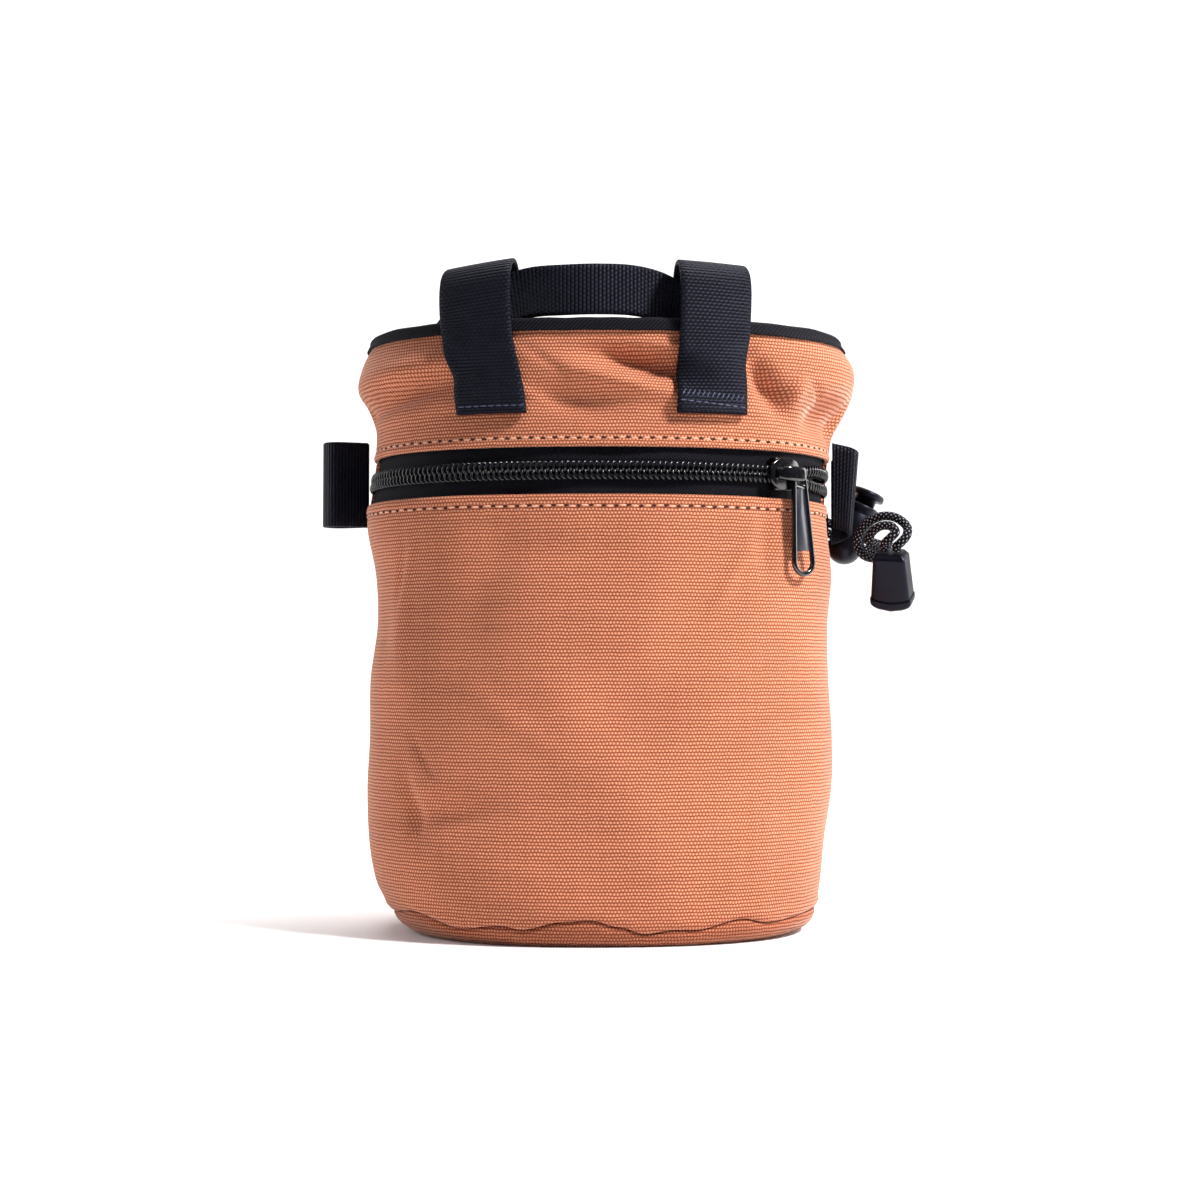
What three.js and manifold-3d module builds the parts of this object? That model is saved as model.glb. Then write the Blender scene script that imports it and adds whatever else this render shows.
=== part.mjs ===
// Climbing chalk bag: a canvas bucket with a zipped front pocket, bound rim, belt loops, carry strap,
// two side loops and a draw cord with a spring lock. Millimetres, +Z up, front toward -Y, right toward +X.
// The origin lies on the floor under the middle of the bag.
import * as THREE from "three";
import { mergeVertices } from "three/addons/utils/BufferGeometryUtils.js";
import Module from "manifold-3d";

const wasm = await Module();
wasm.setup();

// Clearances
const SEAT_GAP = 0.3; // between any two touching pieces
const RUN_GAP = 0.35; // round a moving piece

// Body shape
const CANVAS_TOP = 169.5; // canvas and lining edge inside the rim binding
const HALF_WIDTH = 67;
const FRONT_DEPTH = 47;
const BACK_DEPTH = 50;
const SQUARENESS = 2.25; // 2 is an ellipse, more is squarer
const CANVAS = 1.3;
const LINING = 1.1;
const POCKET_SPACE = 1.8; // between the canvas and the lining, where the pocket lies
const POCKET_CLEARANCE = 1.7; // above the zip tape the lining starts back to the canvas
const POCKET_FADE = 0.444; // share of the space above that it takes to get there
const BASE_THICKNESS = 1.3;
const BASE_LAP = 5; // the base panel's edge stands inside the body wall above the bottom seam
const BASE_SEAM = 5.8; // mean height of the bottom seam
const BASE_SWELL = 0.2; // how far the base bulges out under its seam
const FLOOR_CORNER = 1.2; // height over which base and lining turn up from the floor
const SIDE_SEAM_GAP = 0.36;

// Zip
const ZIP_HEIGHT = 129.3; // chain centre
const ZIP_OPENING = 13.1;
const TAPE = 0.6;
const TAPE_WIDTH = 11.5;
const CHAIN_WIDTH = 6;
const CHAIN_DEPTH = 1.9;
const CHAIN_SPLIT = 0.9; // half of the distance between the open coils
const CHAIN_PARTING = 10; // degrees over which the coils part beyond the slider
const SLIDER_ANGLE = 56.5; // degrees round from the front
const SLIDER_LENGTH = 10.5;
const SLIDER_HEIGHT = 9;
const SLIDER_PLATE = 1;
const SLIDER_CORNER = 2;
const SLIDER_FLANGE = 0.8;
const SLIDER_LIFT = 0.5; // plate above the chain
const BRIDGE_HEIGHT = 4;
const BRIDGE_RISE = 3.2;
const BRIDGE_BAR = 1;
const BRIDGE_CORNER = 1.2;
const BRIDGE_FOOT = 2;
const BRIDGE_SETBACK = 1; // bar from the rear end of the plate
const POST_RADIUS = 1.05;
const POST_AHEAD = 4; // post from the slider's middle
const POST_DROP = 0.8;

// Zip pull
const PULL_LENGTH = 30;
const PULL_TOP_WIDTH = 5;
const PULL_WIDTH = 8.2;
const PULL_THICKNESS = 1.4;
const PULL_BORDER = 1.3;
const PULL_RECESS = 0.35;
const PULL_PANEL_DROP = 0.6; // sunk panel below the round top
const PULL_SLOT = 5.8;
const PULL_TILT = 4; // degrees at rest

// Rim binding
const BINDING = 0.65;
const BINDING_LEG = 1.9; // down from the canvas edge
const BINDING_TOP = 2; // cloth heaped over the edges

// Belt loops and carry strap
const BELT_WEBBING = 19;
const WEBBING_THICKNESS = 1.5;
const LOOP_BEND = 6; // height over which a belt loop turns over
const LOOP_TOP = 186.6;
const LOOP_FOOT = 145;
const LOOP_BACK_FOOT = 159;
const LEFT_LOOP_X = -33.4;
const LEFT_FOOT_SHIFT = 4.2; // sewn foot to the right of the top
const LEFT_TOP_SLANT = 1;
const RIGHT_LOOP_X = 31;
const RIGHT_FOOT_SHIFT = -0.8;
const RIGHT_TOP_SLANT = -0.4;
const STRAP_THICKNESS = 1.5;
const STRAP_TOP = 186.3;
const STRAP_WIDTH = 14;
const STRAP_SPAN = 52; // half of the way between its sewn ends

// Side loops
const SIDE_WEBBING = 25;
const SIDE_WEBBING_THICKNESS = 1.4;
const SIDE_LOOP_TOP = 142;
const LEFT_LOOP_REACH = 13.2;
const LEFT_LOOP_SPREAD = 3.6;
const RIGHT_LOOP_REACH = 8;
const RIGHT_LOOP_SPREAD = 1.6;
const SIDE_LOOP_SKEW = 5; // back leg lower than front leg

// Draw cord, lock and end
const CORD = 2.65;
const EYELET_RADIUS = 5.2;
const EYELET_BORE = 3.8;
const EYELET_FLANGE = 0.8;
const EYELET_BEVEL = 0.5;
const LOCK_RADIUS = 5.2;
const LOCK_LENGTH = 18.8;
const LOCK_BEVEL = 0.5;
const LOCK_BASE = [71, 9, 107.1]; // lowest point of the lock's axis
const LOCK_TILT = 24; // degrees from upright
const LOCK_HOLE_UP = 8.6; // cross hole above the lowest point
const LOCK_HOLE_WIDTH = 3.4;
const LOCK_HOLE_HEIGHT = 6.4;
const LOCK_BORE = 3.7;
const LOCK_FLOOR = 13.2; // bottom of the button's bore above the lowest point
const BUTTON_STEM = 3.35;
const BUTTON_CAP = 5.2;
const BUTTON_CAP_HEIGHT = 2;
const BUTTON_BEVEL = 0.65;
const BUTTON_TRAVEL = 2.2;
const END_LENGTH = 17.6;
const END_TOP_WIDTH = 9.6;
const END_WIDTH = 12.2;
const END_DEPTH = 6.2;
const END_BULGE = 1.8;
const END_BEVEL = 0.6;
const END_CHAMFER_WIDTH = 1;
const END_CHAMFER_HEIGHT = 1.4;
const END_AT = [84.3, -9.2, 109.3]; // middle of its top

// Facets
const ANGLE_STEP = 7.5;
const HALF_TURN = 180;

const rad = THREE.MathUtils.degToRad;
const lerp = THREE.MathUtils.lerp;
const clamp = THREE.MathUtils.clamp;
const smoothstep = THREE.MathUtils.smoothstep;

// Sections of the body: height as a share of CANVAS_TOP, half width to the left and to the right as
// shares of HALF_WIDTH, depth in front as a share of FRONT_DEPTH and behind as a share of BACK_DEPTH.
const SECTIONS = [
  { height: 0, left: 0.8, right: 0.83, front: 0.89, back: 0.87 },
  { height: 0.013, left: 0.85, right: 0.895, front: 0.93, back: 0.92 },
  { height: 0.03, left: 0.89, right: 0.925, front: 0.965, back: 0.955 },
  { height: 0.053, left: 0.93, right: 0.943, front: 0.99, back: 0.98 },
  { height: 0.089, left: 0.975, right: 0.957, front: 1.01, back: 1 },
  { height: 0.16, left: 1.005, right: 0.975, front: 1.02, back: 1.01 },
  { height: 0.243, left: 1.012, right: 1.007, front: 1.015, back: 1.01 },
  { height: 0.326, left: 1.002, right: 1.012, front: 1.005, back: 1 },
  { height: 0.427, left: 1, right: 0.995, front: 1, back: 1 },
  { height: 0.522, left: 0.97, right: 0.992, front: 1, back: 0.995 },
  { height: 0.605, left: 0.978, right: 1.01, front: 1, back: 1 },
  { height: 0.694, left: 1.018, right: 0.99, front: 1, back: 1 },
  { height: 0.771, left: 0.997, right: 0.995, front: 0.99, back: 0.99 },
  { height: 0.843, left: 0.978, right: 1.02, front: 0.97, back: 0.985 },
  { height: 0.878, left: 1.003, right: 1.065, front: 0.965, back: 1.005 },
  { height: 0.917, left: 1.042, right: 1.11, front: 0.965, back: 1.03 },
  { height: 0.961, left: 1.04, right: 1.11, front: 0.955, back: 1.03 },
  { height: 1, left: 0.995, right: 1.045, front: 0.945, back: 1 },
];

// Folds and dents of the cloth: side is -1 in front and 1 behind, across is a share of HALF_WIDTH,
// height, length, width and depth are shares of CANVAS_TOP, tilt is in degrees, and depth is inward.
const FOLDS = [
  { side: -1, across: 0.13, height: 0.943, length: 0.085, width: 0.016, depth: 0.01, tilt: -4 },
  { side: -1, across: 0.07, height: 0.915, length: 0.1, width: 0.019, depth: -0.007, tilt: -11 },
  { side: -1, across: -0.78, height: 0.9, length: 0.09, width: 0.022, depth: 0.014, tilt: 14 },
  { side: -1, across: -0.8, height: 0.945, length: 0.09, width: 0.03, depth: -0.007, tilt: 6 },
  { side: -1, across: 0.7, height: 0.91, length: 0.045, width: 0.026, depth: 0.015, tilt: 80 },
  { side: -1, across: 0.82, height: 0.895, length: 0.035, width: 0.022, depth: -0.008, tilt: 20 },
  { side: -1, across: 0.98, height: 0.868, length: 0.05, width: 0.03, depth: 0.03, tilt: 30 },
  { side: -1, across: -0.24, height: 0.635, length: 0.1, width: 0.03, depth: 0.0055, tilt: 0 },
  { side: -1, across: 0.7, height: 0.65, length: 0.05, width: 0.018, depth: 0.006, tilt: 88 },
  { side: -1, across: -0.78, height: 0.24, length: 0.06, width: 0.014, depth: 0.006, tilt: -77 },
  { side: -1, across: -0.6, height: 0.21, length: 0.08, width: 0.03, depth: 0.008, tilt: 0 },
  { side: -1, across: -0.8, height: 0.5, length: 0.07, width: 0.018, depth: -0.004, tilt: 90 },
  { side: 1, across: 0.3, height: 0.93, length: 0.11, width: 0.025, depth: 0.014, tilt: 8 },
  { side: 1, across: -0.45, height: 0.915, length: 0.09, width: 0.025, depth: 0.012, tilt: -12 },
  { side: 1, across: -0.2, height: 0.55, length: 0.14, width: 0.035, depth: 0.008, tilt: -10 },
  { side: 1, across: 0.5, height: 0.25, length: 0.1, width: 0.03, depth: 0.008, tilt: 15 },
];
const FOLD_FADE = 5; // folds die away over this depth toward the side seams

// Height of the bottom seam across the front, as shares of HALF_WIDTH and of BASE_SEAM.
const SEAM_WAVE = [
  [-1, 1.1],
  [-0.85, 1.4],
  [-0.65, 0.76],
  [-0.45, 1],
  [-0.36, 0.84],
  [-0.17, 1.24],
  [-0.04, 1.34],
  [0.08, 1.02],
  [0.2, 0.66],
  [0.32, 0.84],
  [0.42, 0.8],
  [0.62, 1.25],
  [0.75, 0.96],
  [1, 1.25],
];

const canvasMaterial = cloth(0xd88a68);
const baseMaterial = cloth(0xa25940);
const liningMaterial = cloth(0x24232a);
const bindingMaterial = cloth(0x121017);
const webbingMaterial = cloth(0x161723);
const tapeMaterial = cloth(0x101016);
const cordMaterial = cloth(0x15141c);
const coilMaterial = plastic(0x15151d, 0.3);
const plasticMaterial = plastic(0x1a1b26, 0.38);
const metalMaterial = new THREE.MeshStandardMaterial({ color: 0x14151c, roughness: 0.25, metalness: 0.85 });

function cloth(color) {
  return new THREE.MeshStandardMaterial({ color, roughness: 0.9, metalness: 0 });
}

function plastic(color, roughness) {
  return new THREE.MeshStandardMaterial({ color, roughness, metalness: 0 });
}

// Value of one column of SECTIONS at a height, on a smooth curve through the rows.
function sectionValue(column, height) {
  const share = clamp(height / CANVAS_TOP, 0, 1);
  let row = 0;
  while (row < SECTIONS.length - 2 && share > SECTIONS[row + 1].height) row += 1;
  const slopeAt = (k) => {
    const before = SECTIONS[Math.max(k - 1, 0)];
    const after = SECTIONS[Math.min(k + 1, SECTIONS.length - 1)];
    return (after[column] - before[column]) / (after.height - before.height);
  };
  const low = SECTIONS[row];
  const high = SECTIONS[row + 1];
  const span = high.height - low.height;
  const t = (share - low.height) / span;
  const rise = t * t * (3 - 2 * t);
  const leave = t * (1 - t) * (1 - t) * span * slopeAt(row);
  const arrive = t * t * (t - 1) * span * slopeAt(row + 1);
  return lerp(low[column], high[column], rise) + leave + arrive;
}

// Point of the body's outline at an angle in degrees from the front, with the outward direction there.
function outlineAt(angle, height) {
  const sine = Math.sin(rad(angle));
  const cosine = Math.cos(rad(angle));
  const width = HALF_WIDTH * sectionValue(sine < 0 ? "left" : "right", height);
  const depth = cosine > 0
    ? FRONT_DEPTH * sectionValue("front", height)
    : BACK_DEPTH * sectionValue("back", height);
  const power = SQUARENESS;
  const sum = Math.abs(sine / width) ** power + Math.abs(cosine / depth) ** power;
  const radius = sum ** (-1 / power);
  const x = radius * sine;
  const y = -radius * cosine;
  const outX = Math.sign(x) * Math.abs(x) ** (power - 1) / width ** power;
  const outY = Math.sign(y) * Math.abs(y) ** (power - 1) / depth ** power;
  const size = Math.hypot(outX, outY);
  return { x, y, outX: outX / size, outY: outY / size };
}

// Depth of the folds at a place of the outline.
function foldDepth(x, y, height) {
  let depth = 0;
  for (const fold of FOLDS) {
    const near = smoothstep(y * fold.side, 0, FOLD_FADE);
    const right = x - fold.across * HALF_WIDTH;
    const up = height - fold.height * CANVAS_TOP;
    const turn = rad(fold.tilt);
    const along = (right * Math.cos(turn) + up * Math.sin(turn)) / (fold.length * CANVAS_TOP);
    const beside = (up * Math.cos(turn) - right * Math.sin(turn)) / (fold.width * CANVAS_TOP);
    depth += near * fold.depth * CANVAS_TOP * Math.exp(-along * along - beside * beside);
  }
  return depth;
}

// Point at an angle and height, a distance inward from the canvas's outer face.
function wallPoint(angle, height, inward) {
  const at = outlineAt(angle, height);
  const fade = 1 - smoothstep(height, CANVAS_TOP - BINDING_LEG, CANVAS_TOP + BINDING_LEG);
  const depth = inward + fade * foldDepth(at.x, at.y, height);
  return new THREE.Vector3(at.x - at.outX * depth, at.y - at.outY * depth, height);
}

// Angle at which the front of the outline has a given x.
function frontAngle(x, height) {
  let low = -HALF_TURN / 2;
  let high = HALF_TURN / 2;
  for (let k = 0; k < 40; k += 1) {
    const middle = (low + high) / 2;
    if (outlineAt(middle, height).x < x) low = middle;
    else high = middle;
  }
  return (low + high) / 2;
}

function seamHeight(angle) {
  const at = outlineAt(angle, BASE_SEAM);
  const side = HALF_WIDTH * sectionValue(at.x < 0 ? "left" : "right", BASE_SEAM);
  if (at.y > 0) {
    const wave = Math.cos(rad(angle * 5)) * Math.cos(rad(angle)) ** 2;
    return BASE_SEAM * (lerp(SEAM_WAVE[0][1], SEAM_WAVE.at(-1)[1], (at.x / side + 1) / 2) + wave / 5);
  }
  const share = clamp(at.x / side, -1, 1);
  let row = 0;
  while (row < SEAM_WAVE.length - 2 && share > SEAM_WAVE[row + 1][0]) row += 1;
  const [from, low] = SEAM_WAVE[row];
  const [to, high] = SEAM_WAVE[row + 1];
  return BASE_SEAM * lerp(low, high, smoothstep(share, from, to));
}

// Inward distance of the lining's outer face: under the pocket it stands off the canvas.
function liningInward(height) {
  const foot = ZIP_HEIGHT + TAPE_WIDTH + POCKET_CLEARANCE;
  const top = lerp(foot, CANVAS_TOP, POCKET_FADE);
  return CANVAS + lerp(POCKET_SPACE, SEAT_GAP, smoothstep(height, foot, top));
}

function anglesBetween(from, to) {
  const count = Math.round((to - from) / ANGLE_STEP);
  const angles = [];
  for (let k = 0; k <= count; k += 1) angles.push(lerp(from, to, k / count));
  return angles;
}

// Skin through rings of points. Open runs get end caps that pair a ring's first and last points.
function skin(rings, closed) {
  const corners = [];
  const face = (a, b, c) => {
    if (a.distanceTo(b) > 1e-3 && b.distanceTo(c) > 1e-3 && c.distanceTo(a) > 1e-3) corners.push(a, b, c);
  };
  const size = rings[0].length;
  const runs = closed ? rings.length : rings.length - 1;
  for (let r = 0; r < runs; r += 1) {
    const here = rings[r];
    const next = rings[(r + 1) % rings.length];
    for (let k = 0; k < size; k += 1) {
      const m = (k + 1) % size;
      if (here[k].distanceTo(next[m]) < here[m].distanceTo(next[k])) {
        face(here[k], here[m], next[m]);
        face(here[k], next[m], next[k]);
      } else {
        face(here[k], here[m], next[k]);
        face(here[m], next[m], next[k]);
      }
    }
  }
  if (!closed) {
    const first = rings[0];
    const last = rings.at(-1);
    for (let k = 0; k < Math.floor(size / 2) - 1 + (size % 2); k += 1) {
      const m = size - 1 - k;
      face(first[k], first[m], first[k + 1]);
      face(last[k], last[k + 1], last[m]);
      if (m - 1 > k + 1) {
        face(first[k + 1], first[m], first[m - 1]);
        face(last[k + 1], last[m - 1], last[m]);
      }
    }
  }
  const geometry = new THREE.BufferGeometry().setFromPoints(corners);
  return outwardGeometry(geometry);
}

function volumeOf(geometry) {
  const p = geometry.getAttribute("position");
  const [a, b, c] = [new THREE.Vector3(), new THREE.Vector3(), new THREE.Vector3()];
  let total = 0;
  for (let k = 0; k < p.count; k += 3) {
    a.fromBufferAttribute(p, k);
    b.fromBufferAttribute(p, k + 1);
    c.fromBufferAttribute(p, k + 2);
    total += a.dot(b.cross(c)) / 6;
  }
  return total;
}

// The same faces, turned to point out.
function outwardGeometry(geometry) {
  if (volumeOf(geometry) < 0) {
    const p = geometry.getAttribute("position");
    for (let k = 0; k < p.count; k += 3) {
      const [x, y, z] = [p.getX(k), p.getY(k), p.getZ(k)];
      p.setXYZ(k, p.getX(k + 1), p.getY(k + 1), p.getZ(k + 1));
      p.setXYZ(k + 1, x, y, z);
    }
  }
  geometry.computeVertexNormals();
  return geometry;
}

function mesh(name, geometry, material) {
  const made = new THREE.Mesh(geometry, material);
  made.name = name;
  return made;
}

function solidOf(geometry) {
  const bare = geometry.index ? geometry.toNonIndexed() : geometry.clone();
  bare.deleteAttribute("normal");
  bare.deleteAttribute("uv");
  const merged = mergeVertices(bare, 1e-4);
  return new wasm.Manifold(new wasm.Mesh({
    numProp: 3,
    vertProperties: new Float32Array(merged.getAttribute("position").array),
    triVerts: new Uint32Array(merged.index.array),
  }));
}

function geometryOf(solid) {
  const { numProp, numVert, triVerts, vertProperties } = solid.getMesh();
  const positions = new Float32Array(numVert * 3);
  for (let k = 0; k < numVert; k += 1) {
    positions.set(vertProperties.subarray(k * numProp, k * numProp + 3), k * 3);
  }
  const geometry = new THREE.BufferGeometry();
  geometry.setAttribute("position", new THREE.BufferAttribute(positions, 3));
  geometry.setIndex(new THREE.BufferAttribute(new Uint32Array(triVerts), 1));
  geometry.computeVertexNormals();
  return geometry;
}

function joined(...geometries) {
  return geometryOf(geometries.map(solidOf).reduce((all, one) => all.add(one)));
}

function cutBy(geometry, ...cutters) {
  return geometryOf(cutters.map(solidOf).reduce((left, one) => left.subtract(one), solidOf(geometry)));
}

// A flat piece of cloth bent to the wall: heights run up the outside and back down the inside.
function wallPiece(angles, heights, outer, inner, closed) {
  return skin(angles.map((angle) => {
    const rows = typeof heights === "function" ? heights(angle) : heights;
    const up = rows.map((height) => wallPoint(angle, height, outer(height)));
    const down = rows.map((height) => wallPoint(angle, height, inner(height))).reverse();
    return [...up, ...down];
  }), closed);
}

// Body: base dish, lining cup, the two front panels, the back panel and the binding round the rim.
function wallPanels() {
  const round = anglesBetween(-HALF_TURN, HALF_TURN).slice(0, -1);
  const seamAngle = THREE.MathUtils.radToDeg(SIDE_SEAM_GAP / 2 / HALF_WIDTH);
  const quarter = HALF_TURN / 2;
  const front = anglesBetween(-quarter + seamAngle, quarter - seamAngle);
  const back = anglesBetween(quarter + seamAngle, HALF_TURN * 2 - quarter - seamAngle);
  const tapeFoot = ZIP_HEIGHT - TAPE_WIDTH;
  const tapeTop = ZIP_HEIGHT + TAPE_WIDTH;
  const lower = [0.128, 0.23, 0.35, 0.469, 0.614, 0.751, 0.87, 0.95].map((share) => share * tapeFoot);
  const collar = [0.15, 0.31, 0.51, 0.69, 0.865, 1].map((share) => lerp(tapeTop, CANVAS_TOP, share));
  const pocketTop = ZIP_HEIGHT - ZIP_OPENING / 2;
  const upperFoot = ZIP_HEIGHT + ZIP_OPENING / 2;
  const outside = () => 0;
  const canvasInside = () => CANVAS;
  const lap = (angle) => [seamHeight(angle), seamHeight(angle) + BASE_LAP];

  const pocketRows = (angle) => [...lap(angle), ...lower, tapeFoot, pocketTop];
  const pocket = wallPiece(front, pocketRows, outside, canvasInside, false);
  const upper = wallPiece(front, [upperFoot, tapeTop, ...collar], outside, canvasInside, false);
  const eyeletHole = wallPlug(EYELET_BORE + EYELET_FLANGE, -CANVAS * 2, CANVAS);
  const backRows = (angle) => [...lap(angle), ...lower, ZIP_HEIGHT, tapeTop, ...collar];
  const backPanel = cutBy(wallPiece(back, backRows, outside, canvasInside, false), eyeletHole);
  const liningRows = [lower[1], lower[5], ZIP_HEIGHT, tapeTop, ...collar];
  return [
    mesh("pocket_panel", pocket, canvasMaterial),
    mesh("upper_front_panel", upper, canvasMaterial),
    mesh("back_panel", backPanel, canvasMaterial),
    mesh("base_panel", baseDish(round), baseMaterial),
    mesh("lining", liningCup(round, liningRows), liningMaterial),
    mesh("rim_binding", rimBinding(round), bindingMaterial),
  ];
}

// Dish that stands on the floor. Below the seam it bulges out, above it stands inside the body wall.
function baseDish(angles) {
  const inside = CANVAS + SEAT_GAP;
  const middle = new THREE.Vector3(0, 0, 0);
  const rise = new THREE.Vector3(0, 0, BASE_THICKNESS);
  return skin(angles.map((angle) => {
    const seam = seamHeight(angle) - SEAT_GAP;
    return [
      middle,
      wallPoint(angle, 0, 0),
      wallPoint(angle, seam * 0.4, -BASE_SWELL),
      wallPoint(angle, seam - SEAT_GAP * 2, BASE_SWELL / 2),
      wallPoint(angle, seam, inside),
      wallPoint(angle, seam + BASE_LAP, inside),
      wallPoint(angle, seam + BASE_LAP, inside + BASE_THICKNESS),
      wallPoint(angle, BASE_THICKNESS + FLOOR_CORNER, inside + BASE_THICKNESS),
      rise.clone().add(wallPoint(angle, 0, inside + BASE_THICKNESS * 2)),
      rise,
    ];
  }), true);
}

// Inner cup: it stands on the base dish and reaches the rim.
function liningCup(angles, heights) {
  const floor = BASE_THICKNESS + SEAT_GAP;
  const edge = (height) => Math.max(liningInward(height), CANVAS + SEAT_GAP * 2 + BASE_THICKNESS);
  const low = floor + FLOOR_CORNER;
  return skin(angles.map((angle) => [
    new THREE.Vector3(0, 0, floor),
    wallPoint(angle, 0, edge(low) + BASE_THICKNESS * 2).setZ(floor),
    wallPoint(angle, low, edge(low) + BASE_THICKNESS),
    ...heights.map((height) => wallPoint(angle, height, liningInward(height))),
    ...heights.map((height) => wallPoint(angle, height, liningInward(height) + LINING)).reverse(),
    wallPoint(angle, low + LINING, edge(low) + BASE_THICKNESS + LINING),
    wallPoint(angle, 0, edge(low) + BASE_THICKNESS * 2 + LINING).setZ(floor + LINING),
    new THREE.Vector3(0, 0, floor + LINING),
  ]), true);
}

// Tape folded over the top edges of canvas and lining.
function rimBinding(angles) {
  const outer = -SEAT_GAP - BINDING;
  const inner = CANVAS + SEAT_GAP + LINING + SEAT_GAP + BINDING;
  const middle = (outer + inner) / 2;
  const foot = CANVAS_TOP - BINDING_LEG;
  const fold = CANVAS_TOP + SEAT_GAP;
  const top = CANVAS_TOP + BINDING_TOP;
  const section = [
    [outer, foot],
    [outer, lerp(fold, top, 0.45)],
    [lerp(outer, middle, 0.5), top],
    [lerp(inner, middle, 0.5), top],
    [inner, lerp(fold, top, 0.45)],
    [inner, foot],
    [inner - BINDING, foot],
    [inner - BINDING, fold],
    [outer + BINDING, fold],
    [outer + BINDING, foot],
  ];
  const sectionAt = (angle) => section.map(([inward, height]) => wallPoint(angle, height, inward));
  return skin(angles.map(sectionAt), true);
}

// Cylinder along the cord's exit line, from one distance outward of the wall to another.
function wallPlug(radius, from, to) {
  const line = exitLine();
  const plug = new THREE.CylinderGeometry(radius, radius, to - from, 20);
  plug.rotateZ(-Math.PI / 2);
  plug.translate((from + to) / 2, 0, 0);
  plug.rotateZ(line.turn);
  plug.translate(line.wall, line.y, line.height);
  return plug;
}

// Where the line through the lock's cross hole meets the body wall.
function exitLine() {
  const tilt = rad(LOCK_TILT);
  const [baseX, baseY, baseZ] = LOCK_BASE;
  const holeX = baseX + LOCK_HOLE_UP * Math.sin(tilt);
  const holeZ = baseZ + LOCK_HOLE_UP * Math.cos(tilt);
  let wall = HALF_WIDTH;
  let turn = 0;
  for (let k = 0; k < 4; k += 1) {
    const height = holeZ + (holeX - wall) * Math.tan(tilt);
    const angle = THREE.MathUtils.radToDeg(Math.atan2(wall, -baseY));
    const at = outlineAt(angle, height);
    wall = wallPoint(angle, height, 0).x;
    turn = Math.atan2(at.outY, at.outX);
  }
  return { wall, y: baseY, height: holeZ + (holeX - wall - EYELET_FLANGE) * Math.tan(tilt), turn };
}

// Zip: two tapes behind the canvas edges, and a coil on each that part beyond the slider.
function zipTapes() {
  const end = HALF_TURN / 2 - THREE.MathUtils.radToDeg(SIDE_SEAM_GAP / 2 / HALF_WIDTH);
  const angles = anglesBetween(-end, end);
  const split = (angle) => {
    const past = SLIDER_ANGLE + THREE.MathUtils.radToDeg(SLIDER_LENGTH / 2 / FRONT_DEPTH);
    return lerp(SEAT_GAP / 2, CHAIN_SPLIT, smoothstep(angle, past, past + CHAIN_PARTING));
  };
  const behind = CANVAS + SEAT_GAP;
  const tape = (side) => skin(angles.map((angle) => {
    const near = ZIP_HEIGHT + side * split(angle);
    const far = ZIP_HEIGHT + side * TAPE_WIDTH;
    const middle = ZIP_HEIGHT + side * ZIP_OPENING / 2;
    return [
      wallPoint(angle, near, behind),
      wallPoint(angle, middle, behind),
      wallPoint(angle, far, behind),
      wallPoint(angle, far, behind + TAPE),
      wallPoint(angle, middle, behind + TAPE),
      wallPoint(angle, near, behind + TAPE),
    ];
  }), false);
  const coil = (side) => skin(angles.map((angle) => {
    const near = ZIP_HEIGHT + side * split(angle);
    const width = CHAIN_WIDTH / 2 - SEAT_GAP / 2;
    const back = behind - SEAT_GAP;
    const front = back - CHAIN_DEPTH;
    return [
      wallPoint(angle, near, back),
      wallPoint(angle, near, lerp(front, back, 0.25)),
      wallPoint(angle, near + side * width * 0.3, front),
      wallPoint(angle, near + side * width * 0.75, front),
      wallPoint(angle, near + side * width, lerp(front, back, 0.4)),
      wallPoint(angle, near + side * width, back),
    ];
  }), false);
  return [
    mesh("zip_tape_upper", tape(1), tapeMaterial),
    mesh("zip_tape_lower", tape(-1), tapeMaterial),
    mesh("zip_coil_upper", coil(1), coilMaterial),
    mesh("zip_coil_lower", coil(-1), coilMaterial),
  ];
}

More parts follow.
